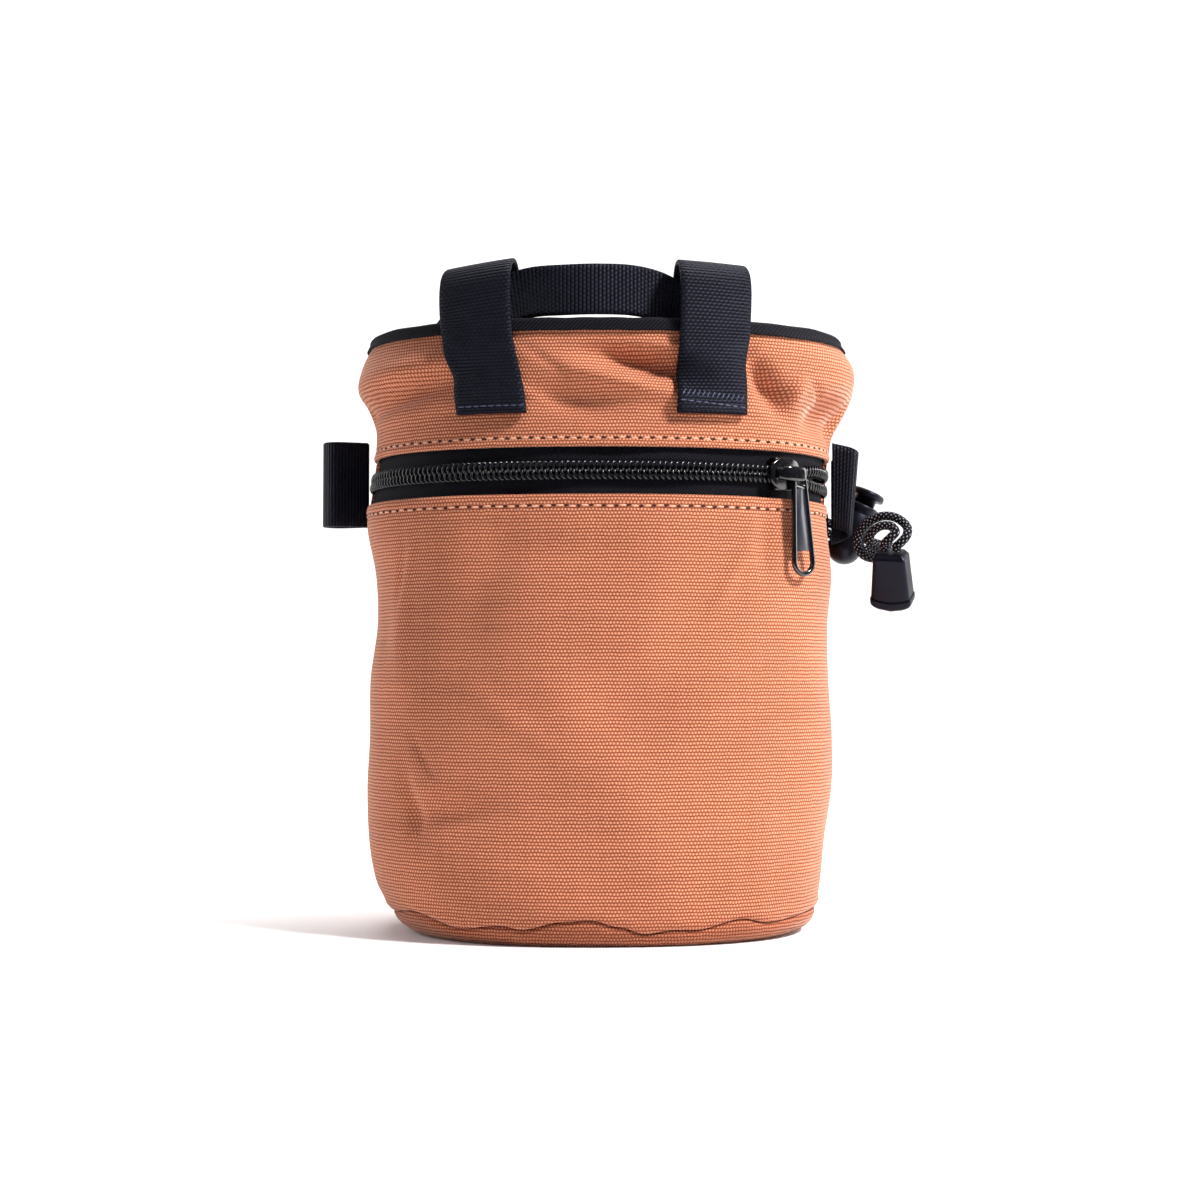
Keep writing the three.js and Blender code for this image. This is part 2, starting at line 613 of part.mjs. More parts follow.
// Slider and its pull, in a group whose -Y points straight out of the wall.
function zipSlider() {
  const at = outlineAt(SLIDER_ANGLE, ZIP_HEIGHT);
  const spot = wallPoint(SLIDER_ANGLE, ZIP_HEIGHT, 0);
  const group = new THREE.Group();
  group.position.copy(spot);
  group.rotation.z = Math.atan2(at.outX, -at.outY);

  const under = CHAIN_DEPTH - CANVAS + SLIDER_LIFT;
  const plateOut = under + SLIDER_PLATE;
  const outline = roundedRectangle(SLIDER_LENGTH, SLIDER_HEIGHT, SLIDER_CORNER);
  const plate = slab(outline, under, plateOut);
  const flangeDepth = under + CANVAS;
  const flange = (side) => {
    const length = SLIDER_LENGTH - SLIDER_CORNER * 2;
    const box = new THREE.BoxGeometry(length, flangeDepth + SLIDER_PLATE / 2, SLIDER_FLANGE);
    const inmost = -CANVAS + (flangeDepth + SLIDER_PLATE / 2) / 2;
    box.translate(0, -inmost, side * (SLIDER_HEIGHT / 2 - SLIDER_FLANGE / 2));
    return box;
  };
  const bridgeOut = plateOut + BRIDGE_RISE;
  const barLength = POST_AHEAD + SLIDER_LENGTH / 2 - BRIDGE_SETBACK;
  const barMiddle = POST_AHEAD + POST_RADIUS - barLength / 2;
  const barOutline = roundedRectangle(barLength, BRIDGE_HEIGHT, BRIDGE_CORNER);
  const bar = slab(barOutline, bridgeOut - BRIDGE_BAR, bridgeOut);
  bar.translate(barMiddle, 0, 0);
  const footMiddle = -(plateOut + BRIDGE_RISE / 2 - BRIDGE_BAR / 2);
  const foot = new THREE.BoxGeometry(BRIDGE_FOOT, BRIDGE_RISE, BRIDGE_HEIGHT * 0.75);
  foot.translate(barMiddle - barLength / 2 + BRIDGE_FOOT, footMiddle, 0);
  const post = new THREE.CylinderGeometry(POST_RADIUS, POST_RADIUS, BRIDGE_RISE, 12);
  post.translate(POST_AHEAD, footMiddle, -POST_DROP);
  group.add(mesh("zip_slider", joined(plate, flange(1), flange(-1), bar, foot, post), metalMaterial));

  const pull = new THREE.Group();
  pull.position.set(POST_AHEAD, 0, -POST_DROP);
  pull.rotation.y = -rad(PULL_TILT);
  pull.add(mesh("zip_pull", pullPlate(plateOut + RUN_GAP), metalMaterial));
  group.add(pull);
  return group;
}

// Tapered tag with a round hole for the post, a slot at the end and a sunk panel between borders.
function pullPlate(out) {
  const topRadius = PULL_TOP_WIDTH / 2;
  const endRadius = PULL_WIDTH / 2;
  const endCentre = -(PULL_LENGTH - topRadius - endRadius);
  const outline = new THREE.Shape();
  outline.absarc(0, 0, topRadius, 0, Math.PI, false);
  outline.absarc(0, endCentre, endRadius, Math.PI, Math.PI * 2, false);
  const eye = new THREE.Path();
  eye.absarc(0, 0, POST_RADIUS + RUN_GAP, 0, Math.PI * 2, true);
  const slotHalf = endRadius - PULL_BORDER;
  const slotTop = endCentre - slotHalf + PULL_SLOT;
  const slot = new THREE.Path();
  slot.moveTo(slotHalf * 0.92, slotTop);
  slot.lineTo(-slotHalf * 0.92, slotTop);
  slot.lineTo(-slotHalf, endCentre);
  slot.absarc(0, endCentre, slotHalf, Math.PI, Math.PI * 2, false);
  outline.holes.push(eye, slot);
  const plate = slab(outline, out, out + PULL_THICKNESS);
  const panelTop = -topRadius - PULL_PANEL_DROP;
  const panelFoot = slotTop + PULL_BORDER;
  const panelWide = endRadius - PULL_BORDER;
  const panelNarrow = topRadius - PULL_BORDER / 2;
  const panel = new THREE.Shape([
    new THREE.Vector2(-panelWide, panelFoot),
    new THREE.Vector2(panelWide, panelFoot),
    new THREE.Vector2(panelNarrow, panelTop),
    new THREE.Vector2(-panelNarrow, panelTop),
  ]);
  const face = out + PULL_THICKNESS;
  return cutBy(plate, slab(panel, face - PULL_RECESS, face + 1));
}

function roundedRectangle(width, height, radius) {
  const right = width / 2 - radius;
  const top = height / 2 - radius;
  const shape = new THREE.Shape();
  shape.absarc(right, top, radius, 0, Math.PI / 2, false);
  shape.absarc(-right, top, radius, Math.PI / 2, Math.PI, false);
  shape.absarc(-right, -top, radius, Math.PI, Math.PI * 1.5, false);
  shape.absarc(right, -top, radius, Math.PI * 1.5, Math.PI * 2, false);
  return shape;
}

// Shape drawn in X and Z, between two distances toward -Y.
function slab(shape, from, to) {
  const options = { depth: to - from, bevelEnabled: false, curveSegments: 4 };
  const geometry = new THREE.ExtrudeGeometry(shape, options);
  geometry.rotateX(Math.PI / 2);
  geometry.translate(0, -from, 0);
  return geometry;
}

// Band of webbing along a path in the plane of inward distance and height, bent to the wall's front.
// Each row gives x of its middle, height, inward distance and the direction along the path.
function frontBand(rows, width, thickness) {
  const shares = [-1, 0, 1];
  return skin(rows.map((row, k) => {
    const before = rows[Math.max(k - 1, 0)];
    const after = rows[Math.min(k + 1, rows.length - 1)];
    const length = Math.hypot(after.inward - before.inward, after.height - before.height);
    const outX = -(after.height - before.height) / length;
    const outZ = (after.inward - before.inward) / length;
    const point = (share, side) => {
      const height = row.height + side * outZ * thickness / 2;
      const inward = row.inward + side * outX * thickness / 2;
      return frontPoint(row.x + share * width / 2, height + (row.slant ?? 0) * share, inward);
    };
    return [...shares.map((share) => point(share, 1)), ...shares.map((share) => point(-share, -1))];
  }), false);
}

// Point in front at a given x. Above the rim the wall is taken to go straight up.
function frontPoint(x, height, inward) {
  const level = Math.min(height, CANVAS_TOP);
  return wallPoint(frontAngle(x, level), level, inward).setZ(height);
}

// Belt loop: sewn outside the canvas, over the binding and the strap, and down inside the rim.
function beltLoop(x, footShift, slant) {
  const half = WEBBING_THICKNESS / 2;
  const sewn = -SEAT_GAP * 2.5 - half;
  const clear = sewn - BINDING - SEAT_GAP;
  const bindingInner = CANVAS + LINING + SEAT_GAP * 2 + BINDING;
  const strapInner = bindingInner + SEAT_GAP * 3 + STRAP_THICKNESS;
  const behind = strapInner + SEAT_GAP * 4 + half;
  const leaves = CANVAS_TOP - BINDING_LEG * 2;
  const rim = CANVAS_TOP + BINDING_TOP;
  const rows = [
    { height: LOOP_FOOT, inward: sewn, shift: footShift },
    { height: lerp(LOOP_FOOT, leaves, 0.38), inward: sewn, shift: footShift * 0.8 },
    { height: lerp(LOOP_FOOT, leaves, 0.72), inward: sewn, shift: footShift * 0.4 },
    { height: leaves, inward: lerp(sewn, clear, 0.6), shift: 0 },
    { height: rim, inward: clear, shift: 0 },
    { height: LOOP_TOP - LOOP_BEND, inward: clear - LOOP_BEND * 0.07, shift: 0 },
    { height: LOOP_TOP - LOOP_BEND * 0.33, inward: clear + LOOP_BEND * 0.15, shift: 0 },
    { height: LOOP_TOP, inward: clear + LOOP_BEND * 0.63, shift: 0 },
    { height: LOOP_TOP, inward: behind - LOOP_BEND * 0.53, shift: 0 },
    { height: LOOP_TOP - LOOP_BEND * 0.37, inward: behind - LOOP_BEND * 0.1, shift: 0 },
    { height: LOOP_TOP - LOOP_BEND, inward: behind, shift: 0 },
    { height: rim, inward: behind, shift: 0 },
    { height: LOOP_BACK_FOOT, inward: behind, shift: 0 },
  ];
  return frontBand(
    rows.map((row) => ({ ...row, x: x + row.shift, slant: row.height > rim ? slant : 0 })),
    BELT_WEBBING, WEBBING_THICKNESS,
  );
}

// Carry strap on edge: across in shares of STRAP_SPAN, drop of its top edge below STRAP_TOP in shares of
// STRAP_WIDTH, lean of its lower edge toward the middle, and inward from 0 over the rim to 1 inside it.
const STRAP_ROUTE = [
  { across: -1.07, drop: 1.96, lean: 0.7, inward: 1.2 },
  { across: -1.02, drop: 1.46, lean: 0.7, inward: 1.1 },
  { across: -0.94, drop: 1.02, lean: 0.66, inward: 1 },
  { across: -0.83, drop: 0.66, lean: 0.52, inward: 1 },
  { across: -0.68, drop: 0.32, lean: 0.34, inward: 1 },
  { across: -0.52, drop: 0.11, lean: 0.16, inward: 1 },
  { across: -0.38, drop: 0.01, lean: 0.04, inward: 0.75 },
  { across: -0.18, drop: 0, lean: 0, inward: 0.25 },
  { across: 0, drop: 0, lean: 0, inward: 0 },
  { across: 0.18, drop: 0.01, lean: 0, inward: 0.35 },
  { across: 0.34, drop: 0.1, lean: 0.05, inward: 1 },
  { across: 0.48, drop: 0.34, lean: 0.2, inward: 1 },
  { across: 0.62, drop: 0.6, lean: 0.38, inward: 1 },
  { across: 0.78, drop: 0.96, lean: 0.55, inward: 1 },
  { across: 0.88, drop: 1.32, lean: 0.64, inward: 1.1 },
  { across: 0.97, drop: 1.86, lean: 0.7, inward: 1.2 },
];

function carryStrap() {
  const half = STRAP_THICKNESS / 2;
  const overRim = CANVAS;
  const insideRim = CANVAS + LINING + SEAT_GAP * 2 + BINDING + SEAT_GAP * 3 + half;
  return skin(STRAP_ROUTE.map((row) => {
    const inward = lerp(overRim, insideRim, row.inward);
    const topX = row.across * STRAP_SPAN;
    const topZ = STRAP_TOP - row.drop * STRAP_WIDTH;
    const lowX = topX - Math.sign(topX) * row.lean * STRAP_WIDTH;
    const lowZ = topZ - STRAP_WIDTH * Math.sqrt(1 - row.lean * row.lean);
    return [
      frontPoint(topX, topZ, inward - half),
      frontPoint(topX, topZ, inward + half),
      frontPoint(lowX, lowZ, inward + half),
      frontPoint(lowX, lowZ, inward - half),
    ];
  }), false);
}

// Side loop: a band folded round an upright axis, its two ends sewn at the side seam.
function sideLoop(side, reach, spread, skew) {
  const half = SIDE_WEBBING_THICKNESS / 2;
  const root = half + SEAT_GAP / 2;
  const path = [
    [0, -root],
    [0.35, -lerp(root, spread, 0.6)],
    [0.68, -spread],
    [0.88, -spread * 0.8],
    [1, 0],
    [0.88, spread * 0.8],
    [0.68, spread],
    [0.35, lerp(root, spread, 0.6)],
    [0, root],
  ];
  const wallAt = (share) => Math.abs(wallPoint(side * 90, SIDE_LOOP_TOP - share * SIDE_WEBBING, 0).x);
  const wallX = Math.max(...[0, 0.3, 0.6, 0.8, 1].map(wallAt));
  const start = wallX + SEAT_GAP;
  const run = reach - half;
  return skin(path.map(([out, y], k) => {
    const before = path[Math.max(k - 1, 0)];
    const after = path[Math.min(k + 1, path.length - 1)];
    const stepX = (after[0] - before[0]) * run;
    const stepY = after[1] - before[1];
    const length = Math.hypot(stepX, stepY);
    const drop = skew * k / (path.length - 1);
    const corner = (sign, up) => new THREE.Vector3(
      side * (start + out * run + sign * stepY / length * half),
      y - sign * stepX / length * half,
      SIDE_LOOP_TOP - drop - (1 - up) * SIDE_WEBBING,
    );
    return [corner(1, 1), corner(-1, 1), corner(-1, 0), corner(1, 0)];
  }), false);
}

function webbings() {
  const leftBelt = beltLoop(LEFT_LOOP_X, LEFT_FOOT_SHIFT, LEFT_TOP_SLANT);
  const rightBelt = beltLoop(RIGHT_LOOP_X, RIGHT_FOOT_SHIFT, RIGHT_TOP_SLANT);
  const leftSide = sideLoop(-1, LEFT_LOOP_REACH, LEFT_LOOP_SPREAD, 0);
  const rightSide = sideLoop(1, RIGHT_LOOP_REACH, RIGHT_LOOP_SPREAD, SIDE_LOOP_SKEW);
  return [
    mesh("belt_loop_left", leftBelt, webbingMaterial),
    mesh("belt_loop_right", rightBelt, webbingMaterial),
    mesh("carry_strap", carryStrap(), webbingMaterial),
    mesh("side_loop_left", leftSide, webbingMaterial),
    mesh("side_loop_right", rightSide, webbingMaterial),
  ];
}

// Routes of the two strands from the eyelet through the lock into the cord end.
const STRAND_A = [
  [67.6, 9, 119.5],
  [71, 9, 118.0],
  [74.7, 9, 116.3],
  [79.5, 9, 114.2],
  [82.8, 8.5, 112.9],
  [85.5, 6.6, 112.1],
  [86.6, 3.6, 111.6],
  [85.7, 0.6, 111.4],
  [83.2, -1.8, 111.3],
  [80.4, -3.9, 111.3],
  [78.5, -6, 112.6],
  [79, -7.8, 115],
  [81.4, -9.4, 116.8],
  [84.2, -10.9, 116.6],
  [85.2, -12, 114.9],
  [83.8, -11.6, 113.2],
  [82.5, -9.9, 111.7],
  [82.6, -8.9, 109.95],
];
const STRAND_B = [
  [67.4, 9, 116.4],
  [70.5, 9, 115.0],
  [73.5, 9, 113.6],
  [78.3, 9, 111.5],
  [81.2, 8.4, 110.3],
  [83.3, 6.2, 109.2],
  [83.6, 3.2, 108.5],
  [82, 0.6, 108.1],
  [79.2, -0.9, 108.1],
  [76.7, -1.9, 109.4],
  [75.4, -3, 112.2],
  [76.2, -4.2, 115.6],
  [78.8, -5.6, 118.5],
  [82.6, -7.4, 119.9],
  [86.4, -9, 119],
  [88.9, -10.4, 116.3],
  [88.5, -11.5, 113.8],
  [87, -11.4, 112],
  [85.9, -10.7, 110.9],
  [85.9, -10.05, 109.7],
];

function strand(points) {
  const route = new THREE.CatmullRomCurve3(points.map((p) => new THREE.Vector3(...p)), false, "centripetal");
  const section = new THREE.Shape();
  const sides = 8;
  for (let k = 0; k < sides; k += 1) {
    const turn = Math.PI * 2 * k / sides;
    const [u, v] = [Math.cos(turn) * CORD / 2, Math.sin(turn) * CORD / 2];
    if (k === 0) section.moveTo(u, v);
    else section.lineTo(u, v);
  }
  return new THREE.ExtrudeGeometry(section, { steps: 24, extrudePath: route });
}

function cords() {
  const line = exitLine();
  const lift = SEAT_GAP * 2.5;
  const profile = [
    [EYELET_BORE, -CANVAS - SEAT_GAP * 2],
    [EYELET_BORE + EYELET_FLANGE - SEAT_GAP, -CANVAS - SEAT_GAP * 2],
    [EYELET_BORE + EYELET_FLANGE - SEAT_GAP, lift],
    [EYELET_RADIUS, lift],
    [EYELET_RADIUS, lift + EYELET_FLANGE * 0.6],
    [EYELET_RADIUS - EYELET_BEVEL, lift + EYELET_FLANGE],
    [EYELET_BORE, lift + EYELET_FLANGE],
    [EYELET_BORE, -CANVAS - SEAT_GAP * 2],
  ].map(([x, y]) => new THREE.Vector2(x, y));
  const ring = new THREE.LatheGeometry(profile, 16);
  ring.rotateZ(-Math.PI / 2);
  const eyelet = mesh("cord_eyelet", ring, plasticMaterial);
  eyelet.position.set(line.wall, line.y, line.height);
  eyelet.rotation.z = line.turn;
  return [
    eyelet,
    mesh("draw_cord_a", strand(STRAND_A), cordMaterial),
    mesh("draw_cord_b", strand(STRAND_B), cordMaterial),
  ];
}

// Spring lock: a round-ended barrel with a cross hole, and a capped button that slides in its top.
function cordLock() {
  const group = new THREE.Group();
  group.position.set(...LOCK_BASE);
  group.rotation.y = rad(LOCK_TILT);
  const outline = [];
  for (let k = 0; k <= 5; k += 1) {
    const turn = k / 5 * Math.PI / 2;
    outline.push(new THREE.Vector2(Math.sin(turn) * LOCK_RADIUS, (1 - Math.cos(turn)) * LOCK_RADIUS));
  }
  outline.push(
    new THREE.Vector2(LOCK_RADIUS, LOCK_LENGTH - LOCK_BEVEL),
    new THREE.Vector2(LOCK_RADIUS - LOCK_BEVEL, LOCK_LENGTH),
    new THREE.Vector2(LOCK_BORE, LOCK_LENGTH),
    new THREE.Vector2(LOCK_BORE, LOCK_FLOOR),
    new THREE.Vector2(0, LOCK_FLOOR),
  );
  const barrel = new THREE.LatheGeometry(outline, 20);
  barrel.rotateX(Math.PI / 2);
  const hole = new THREE.BoxGeometry(LOCK_RADIUS * 3, LOCK_HOLE_WIDTH, LOCK_HOLE_HEIGHT);
  hole.translate(0, 0, LOCK_HOLE_UP);
  group.add(mesh("cord_lock_barrel", cutBy(barrel, hole), plasticMaterial));

  const foot = LOCK_FLOOR + BUTTON_TRAVEL + RUN_GAP;
  const capFoot = LOCK_LENGTH + BUTTON_TRAVEL + RUN_GAP;
  const capTop = capFoot + BUTTON_CAP_HEIGHT;
  const button = new THREE.LatheGeometry([
    new THREE.Vector2(0, foot),
    new THREE.Vector2(BUTTON_STEM, foot),
    new THREE.Vector2(BUTTON_STEM, capFoot),
    new THREE.Vector2(BUTTON_CAP, capFoot),
    new THREE.Vector2(BUTTON_CAP, capTop - BUTTON_BEVEL),
    new THREE.Vector2(BUTTON_CAP - BUTTON_BEVEL, capTop),
    new THREE.Vector2(0, capTop),
  ], 20);
  button.rotateX(Math.PI / 2);
  group.add(mesh("cord_lock_button", button, plasticMaterial));
  return group;
}

// Cord end: a tapered box that closes over both strands, hanging top toward the front.
function cordEnd() {
  const top = END_TOP_WIDTH / 2;
  const low = END_WIDTH / 2;
  const shape = new THREE.Shape();
  shape.moveTo(-top + END_CHAMFER_WIDTH, 0);
  shape.lineTo(-top, -END_CHAMFER_HEIGHT);
  shape.lineTo(-low, -END_LENGTH + END_BULGE);
  shape.quadraticCurveTo(0, -END_LENGTH - END_BULGE, low, -END_LENGTH + END_BULGE);
  shape.lineTo(top, -END_CHAMFER_HEIGHT);
  shape.lineTo(top - END_CHAMFER_WIDTH, 0);
  const body = new THREE.ExtrudeGeometry(shape, {
    depth: END_DEPTH,
    bevelThickness: END_BEVEL,
    bevelSize: END_BEVEL,
    bevelOffset: -END_BEVEL,
    bevelSegments: 1,
    curveSegments: 6,
  });
  body.translate(0, 0, -END_DEPTH / 2);
  body.rotateX(Math.PI / 2);
  const end = mesh("cord_end", body, plasticMaterial);
  end.position.set(...END_AT);
  end.rotation.set(rad(26), rad(-6), rad(-22), "YXZ");
  return end;
}

const bag = new THREE.Group();
bag.add(...wallPanels(), ...zipTapes(), ...webbings(), ...cords());
bag.add(zipSlider(), cordLock(), cordEnd());
bag.updateMatrixWorld(true);

export default bag;
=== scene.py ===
import functools
import math

import bmesh
import bpy
from mathutils import Matrix, Vector


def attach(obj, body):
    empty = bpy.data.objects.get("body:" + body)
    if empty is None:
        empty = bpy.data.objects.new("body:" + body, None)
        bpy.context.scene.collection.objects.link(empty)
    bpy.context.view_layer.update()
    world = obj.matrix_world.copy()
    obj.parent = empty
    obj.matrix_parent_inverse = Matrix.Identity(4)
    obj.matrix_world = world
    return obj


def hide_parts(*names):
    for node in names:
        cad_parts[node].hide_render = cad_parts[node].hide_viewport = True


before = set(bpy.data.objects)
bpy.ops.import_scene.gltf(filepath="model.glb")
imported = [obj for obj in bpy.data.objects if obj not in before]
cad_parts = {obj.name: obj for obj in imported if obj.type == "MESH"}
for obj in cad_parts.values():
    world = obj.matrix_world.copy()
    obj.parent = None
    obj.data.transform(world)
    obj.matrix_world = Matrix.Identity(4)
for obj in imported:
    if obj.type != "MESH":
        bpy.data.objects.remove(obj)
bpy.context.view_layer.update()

mm = 0.001


# Camera, white sweep and studio lamps. The bag is seen from straight in front and a little below its
# middle, from about 57 cm away. A small hard lamp at the upper right is the key, and the others fill in.
view_distance = 570 * mm
view_height = 74.5 * mm
view_tilt = 92.13
view = bpy.data.objects.new("view", bpy.data.cameras.new("view"))
view.data.lens = 58.14
view.data.clip_start = 0.01
view.location = (0, -view_distance, view_height)
view.rotation_euler = (math.radians(view_tilt), 0, 0)
bpy.context.collection.objects.link(view)
bpy.context.scene.camera = view


def linear(colour):
    """An sRGB hex colour as linear values."""
    parts = [int(colour[k:k + 2], 16) / 255 for k in (1, 3, 5)]
    return [p / 12.92 if p <= 0.04045 else ((p + 0.055) / 1.055) ** 2.4 for p in parts] + [1]


def add(material, kind, sockets=None, **settings):
    """A shader node with its settings. A socket gets a value, or a link from another node's output."""
    node = material.node_tree.nodes.new("ShaderNode" + kind)
    for name, value in settings.items():
        setattr(node, name, value)
    for name, value in (sockets or {}).items():
        if isinstance(value, bpy.types.NodeSocket):
            material.node_tree.links.new(value, node.inputs[name])
        else:
            node.inputs[name].default_value = value
    return node


def finish_for(name, base, roughness, **rest):
    """A material and its shader, with values for the shader's sockets."""
    material = bpy.data.materials.new(name)
    material.use_nodes = True
    material.node_tree.nodes.clear()
    values = {"Base Color": linear(base), "Roughness": roughness}
    values.update({key.replace("_", " "): value for key, value in rest.items()})
    shader = add(material, "BsdfPrincipled", values)
    add(material, "OutputMaterial", {"Surface": shader.outputs[0]})
    material.diffuse_color = linear(base)
    return material, shader


def feed(shader, **nodes):
    """Link a node's first output to each of the shader's sockets that is named."""
    for name, node in nodes.items():
        shader.id_data.links.new(node.outputs[0], shader.inputs[name.replace("_", " ")])


def piece_from(shape, name, material, body="bag", at=None):
    """A finished piece from a shape, put in place by the frame at and on its body."""
    if at:
        bmesh.ops.transform(shape, matrix=at, verts=shape.verts)
    mesh = bpy.data.meshes.new(name)
    for face in shape.faces:
        face.smooth = True
    shape.to_mesh(mesh)
    shape.free()
    mesh.materials.append(material)
    piece = bpy.data.objects.new(name, mesh)
    bpy.context.collection.objects.link(piece)
    if body:
        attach(piece, body)
    return piece


paper, shader = finish_for("matt_white_paper", "#f4f3f2", 0.9)
speck = add(paper, "TexNoise", {"Scale": 900, "Detail": 2})
bump = add(paper, "Bump", {"Height": speck.outputs[0], "Strength": 0.02, "Distance": 0.2 * mm})
feed(shader, Normal=bump)
# the sweep in metres: a flat floor, a quarter round and an upright wall
sweep_front = -0.34
sweep_floor = 1.54
sweep_bend = 0.7
half_sweep = 4
shape = bmesh.new()
bmesh.ops.create_grid(shape, x_segments=2, y_segments=48, size=1)
for point in shape.verts:
    along = (point.co.y + 1) / 2
    turn = min(max((along - 0.5) / 0.25, 0), 1) * math.pi / 2
    out = sweep_front + sweep_floor * min(along, 0.5) / 0.5 + sweep_bend * math.sin(turn)
    rise = sweep_bend * (1 - math.cos(turn)) + 8 * max(along - 0.75, 0)
    point.co = (point.co.x * half_sweep, out, rise)
sweep = piece_from(shape, "paper_sweep", paper, body=None)

neutral = (1, 1, 1)
cool = (0.72, 0.78, 1)
for name, place, aim, size, power, tint in (
    ("key_lamp", (0.72, -0.46, 0.82), (0, 0, 0.1), 0.18, 23, neutral),
    ("cool_front_lamp", (-0.55, -0.7, 0.75), (0, 0, 0.1), 0.25, 1.2, cool),
    ("left_rim", (-1, 0.25, 0.35), (0, 0, 0.08), 0.6, 5, neutral),
    ("right_rim", (1, 0.3, 0.35), (0, 0, 0.08), 0.6, 6, neutral),
    ("top_lamp", (0.15, 0.1, 1.1), (0, 0, 0.1), 0.4, 2.5, neutral),
    ("wall_lamp", (0, 0.5, 1.7), (0, 1.8, 0.5), 1.2, 34, neutral),
):
    lamp = bpy.data.objects.new(name, bpy.data.lights.new(name, "AREA"))
    lamp.data.size = size
    lamp.data.energy = power
    lamp.data.color = tint
    lamp.location = place
    lamp.rotation_euler = (Vector(aim) - Vector(place)).to_track_quat("-Z", "Y").to_euler()
    bpy.context.collection.objects.link(lamp)

room = bpy.data.worlds.new("white_room")
room.use_nodes = True
room.node_tree.nodes["Background"].inputs["Color"].default_value = (1, 1, 1, 1)
room.node_tree.nodes["Background"].inputs["Strength"].default_value = 0.06
bpy.context.scene.world = room


# Draw cord: one limp black nylon braid through a channel behind the rim, out by an eyelet at the right.
# Its two strands run through the spring lock, turn once round in front and end in a moulded cord end.
# Each strand follows the same chosen points as its solid, in mm.
cord_diameter = 2.65 * mm
strand_routes = {
    "draw_cord_a": [
        (67.6, 9, 119.5), (71, 9, 118), (74.7, 9, 116.3), (79.5, 9, 114.2), (82.8, 8.5, 112.9),
        (85.5, 6.6, 112.1), (86.6, 3.6, 111.6), (85.7, 0.6, 111.4), (83.2, -1.8, 111.3),
        (80.4, -3.9, 111.3), (78.5, -6, 112.6), (79, -7.8, 115), (81.4, -9.4, 116.8),
        (84.2, -10.9, 116.6), (85.2, -12, 114.9), (83.8, -11.6, 113.2), (82.5, -9.9, 111.7),
        (82.6, -8.9, 109.95),
    ],
    "draw_cord_b": [
        (67.4, 9, 116.4), (70.5, 9, 115), (73.5, 9, 113.6), (78.3, 9, 111.5), (81.2, 8.4, 110.3),
        (83.3, 6.2, 109.2), (83.6, 3.2, 108.5), (82, 0.6, 108.1), (79.2, -0.9, 108.1),
        (76.7, -1.9, 109.4), (75.4, -3, 112.2), (76.2, -4.2, 115.6), (78.8, -5.6, 118.5),
        (82.6, -7.4, 119.9), (86.4, -9, 119), (88.9, -10.4, 116.3), (88.5, -11.5, 113.8),
        (87, -11.4, 112), (85.9, -10.7, 110.9), (85.9, -10.05, 109.7),
    ],
}


def smooth_route(points, steps):
    """A centripetal curve through the points, with that many steps between two of them."""
    points = [Vector(p) * mm for p in points]
    points = [points[0] * 2 - points[1]] + points + [points[-1] * 2 - points[-2]]
    route = []
    for a, b, c, d in zip(points, points[1:], points[2:], points[3:]):
        before, here, after = [max((q - p).length, 1e-9) ** 0.5 for p, q in ((a, b), (b, c), (c, d))]
        start = ((b - a) / before - (c - a) / (before + here) + (c - b) / here) * here
        end = ((c - b) / here - (d - b) / (here + after) + (d - c) / after) * here
        for k in range(steps):
            t = k / steps
            route.append(
                b + start * t + (c * 3 - b * 3 - start * 2 - end) * t ** 2
                + (b * 2 - c * 2 + start + end) * t ** 3
            )
    return route + [points[-2]]


def route_length(route):
    return sum((b - a).length for a, b in zip(route, route[1:]))


def grid(columns, rows, place, chart):
    """A grid of faces. place(i, j) gives where a corner goes, and chart(i, j) its cloth coordinates in mm."""
    shape = bmesh.new()
    bmesh.ops.create_grid(shape, x_segments=columns, y_segments=rows, size=1)
    spots = {}
    for point in shape.verts:
        spots[point] = (round((point.co.x + 1) / 2 * columns), round((point.co.y + 1) / 2 * rows))
    layer = shape.loops.layers.uv.new("cloth")
    for face in shape.faces:
        for corner in face.loops:
            corner[layer].uv = chart(*spots[corner.vert])
    for point, spot in spots.items():
        point.co = place(*spot)
    return shape


def closed(shape, capped=True):
    """The shape with its seams welded and, where capped, its open ends filled."""
    bmesh.ops.remove_doubles(shape, verts=shape.verts, dist=1e-7)
    if capped:
        bmesh.ops.holes_fill(shape, edges=shape.edges, sides=0)
    return shape


def tube(route, radius, sides):
    """A round tube along a route, with a closed cap at each end."""
    side = (route[1] - route[0]).cross(Vector((0.3, 0.2, 1))).normalized()
    frames, walked = [], 0
    for k, point in enumerate(route):
        ahead = (route[min(k + 1, len(route) - 1)] - route[max(k - 1, 0)]).normalized()
        side = (side - ahead * side.dot(ahead)).normalized()
        walked += (point - route[k - 1]).length if k else 0
        frames.append((point, side, ahead.cross(side), walked))

    def place(i, j):
        point, across, up, _ = frames[j]
        turn = 2 * math.pi * i / sides
        return point + (across * math.cos(turn) + up * math.sin(turn)) * radius

    return closed(grid(sides, len(route) - 1, place, lambda i, j: (i / sides, frames[j][3] / mm)))
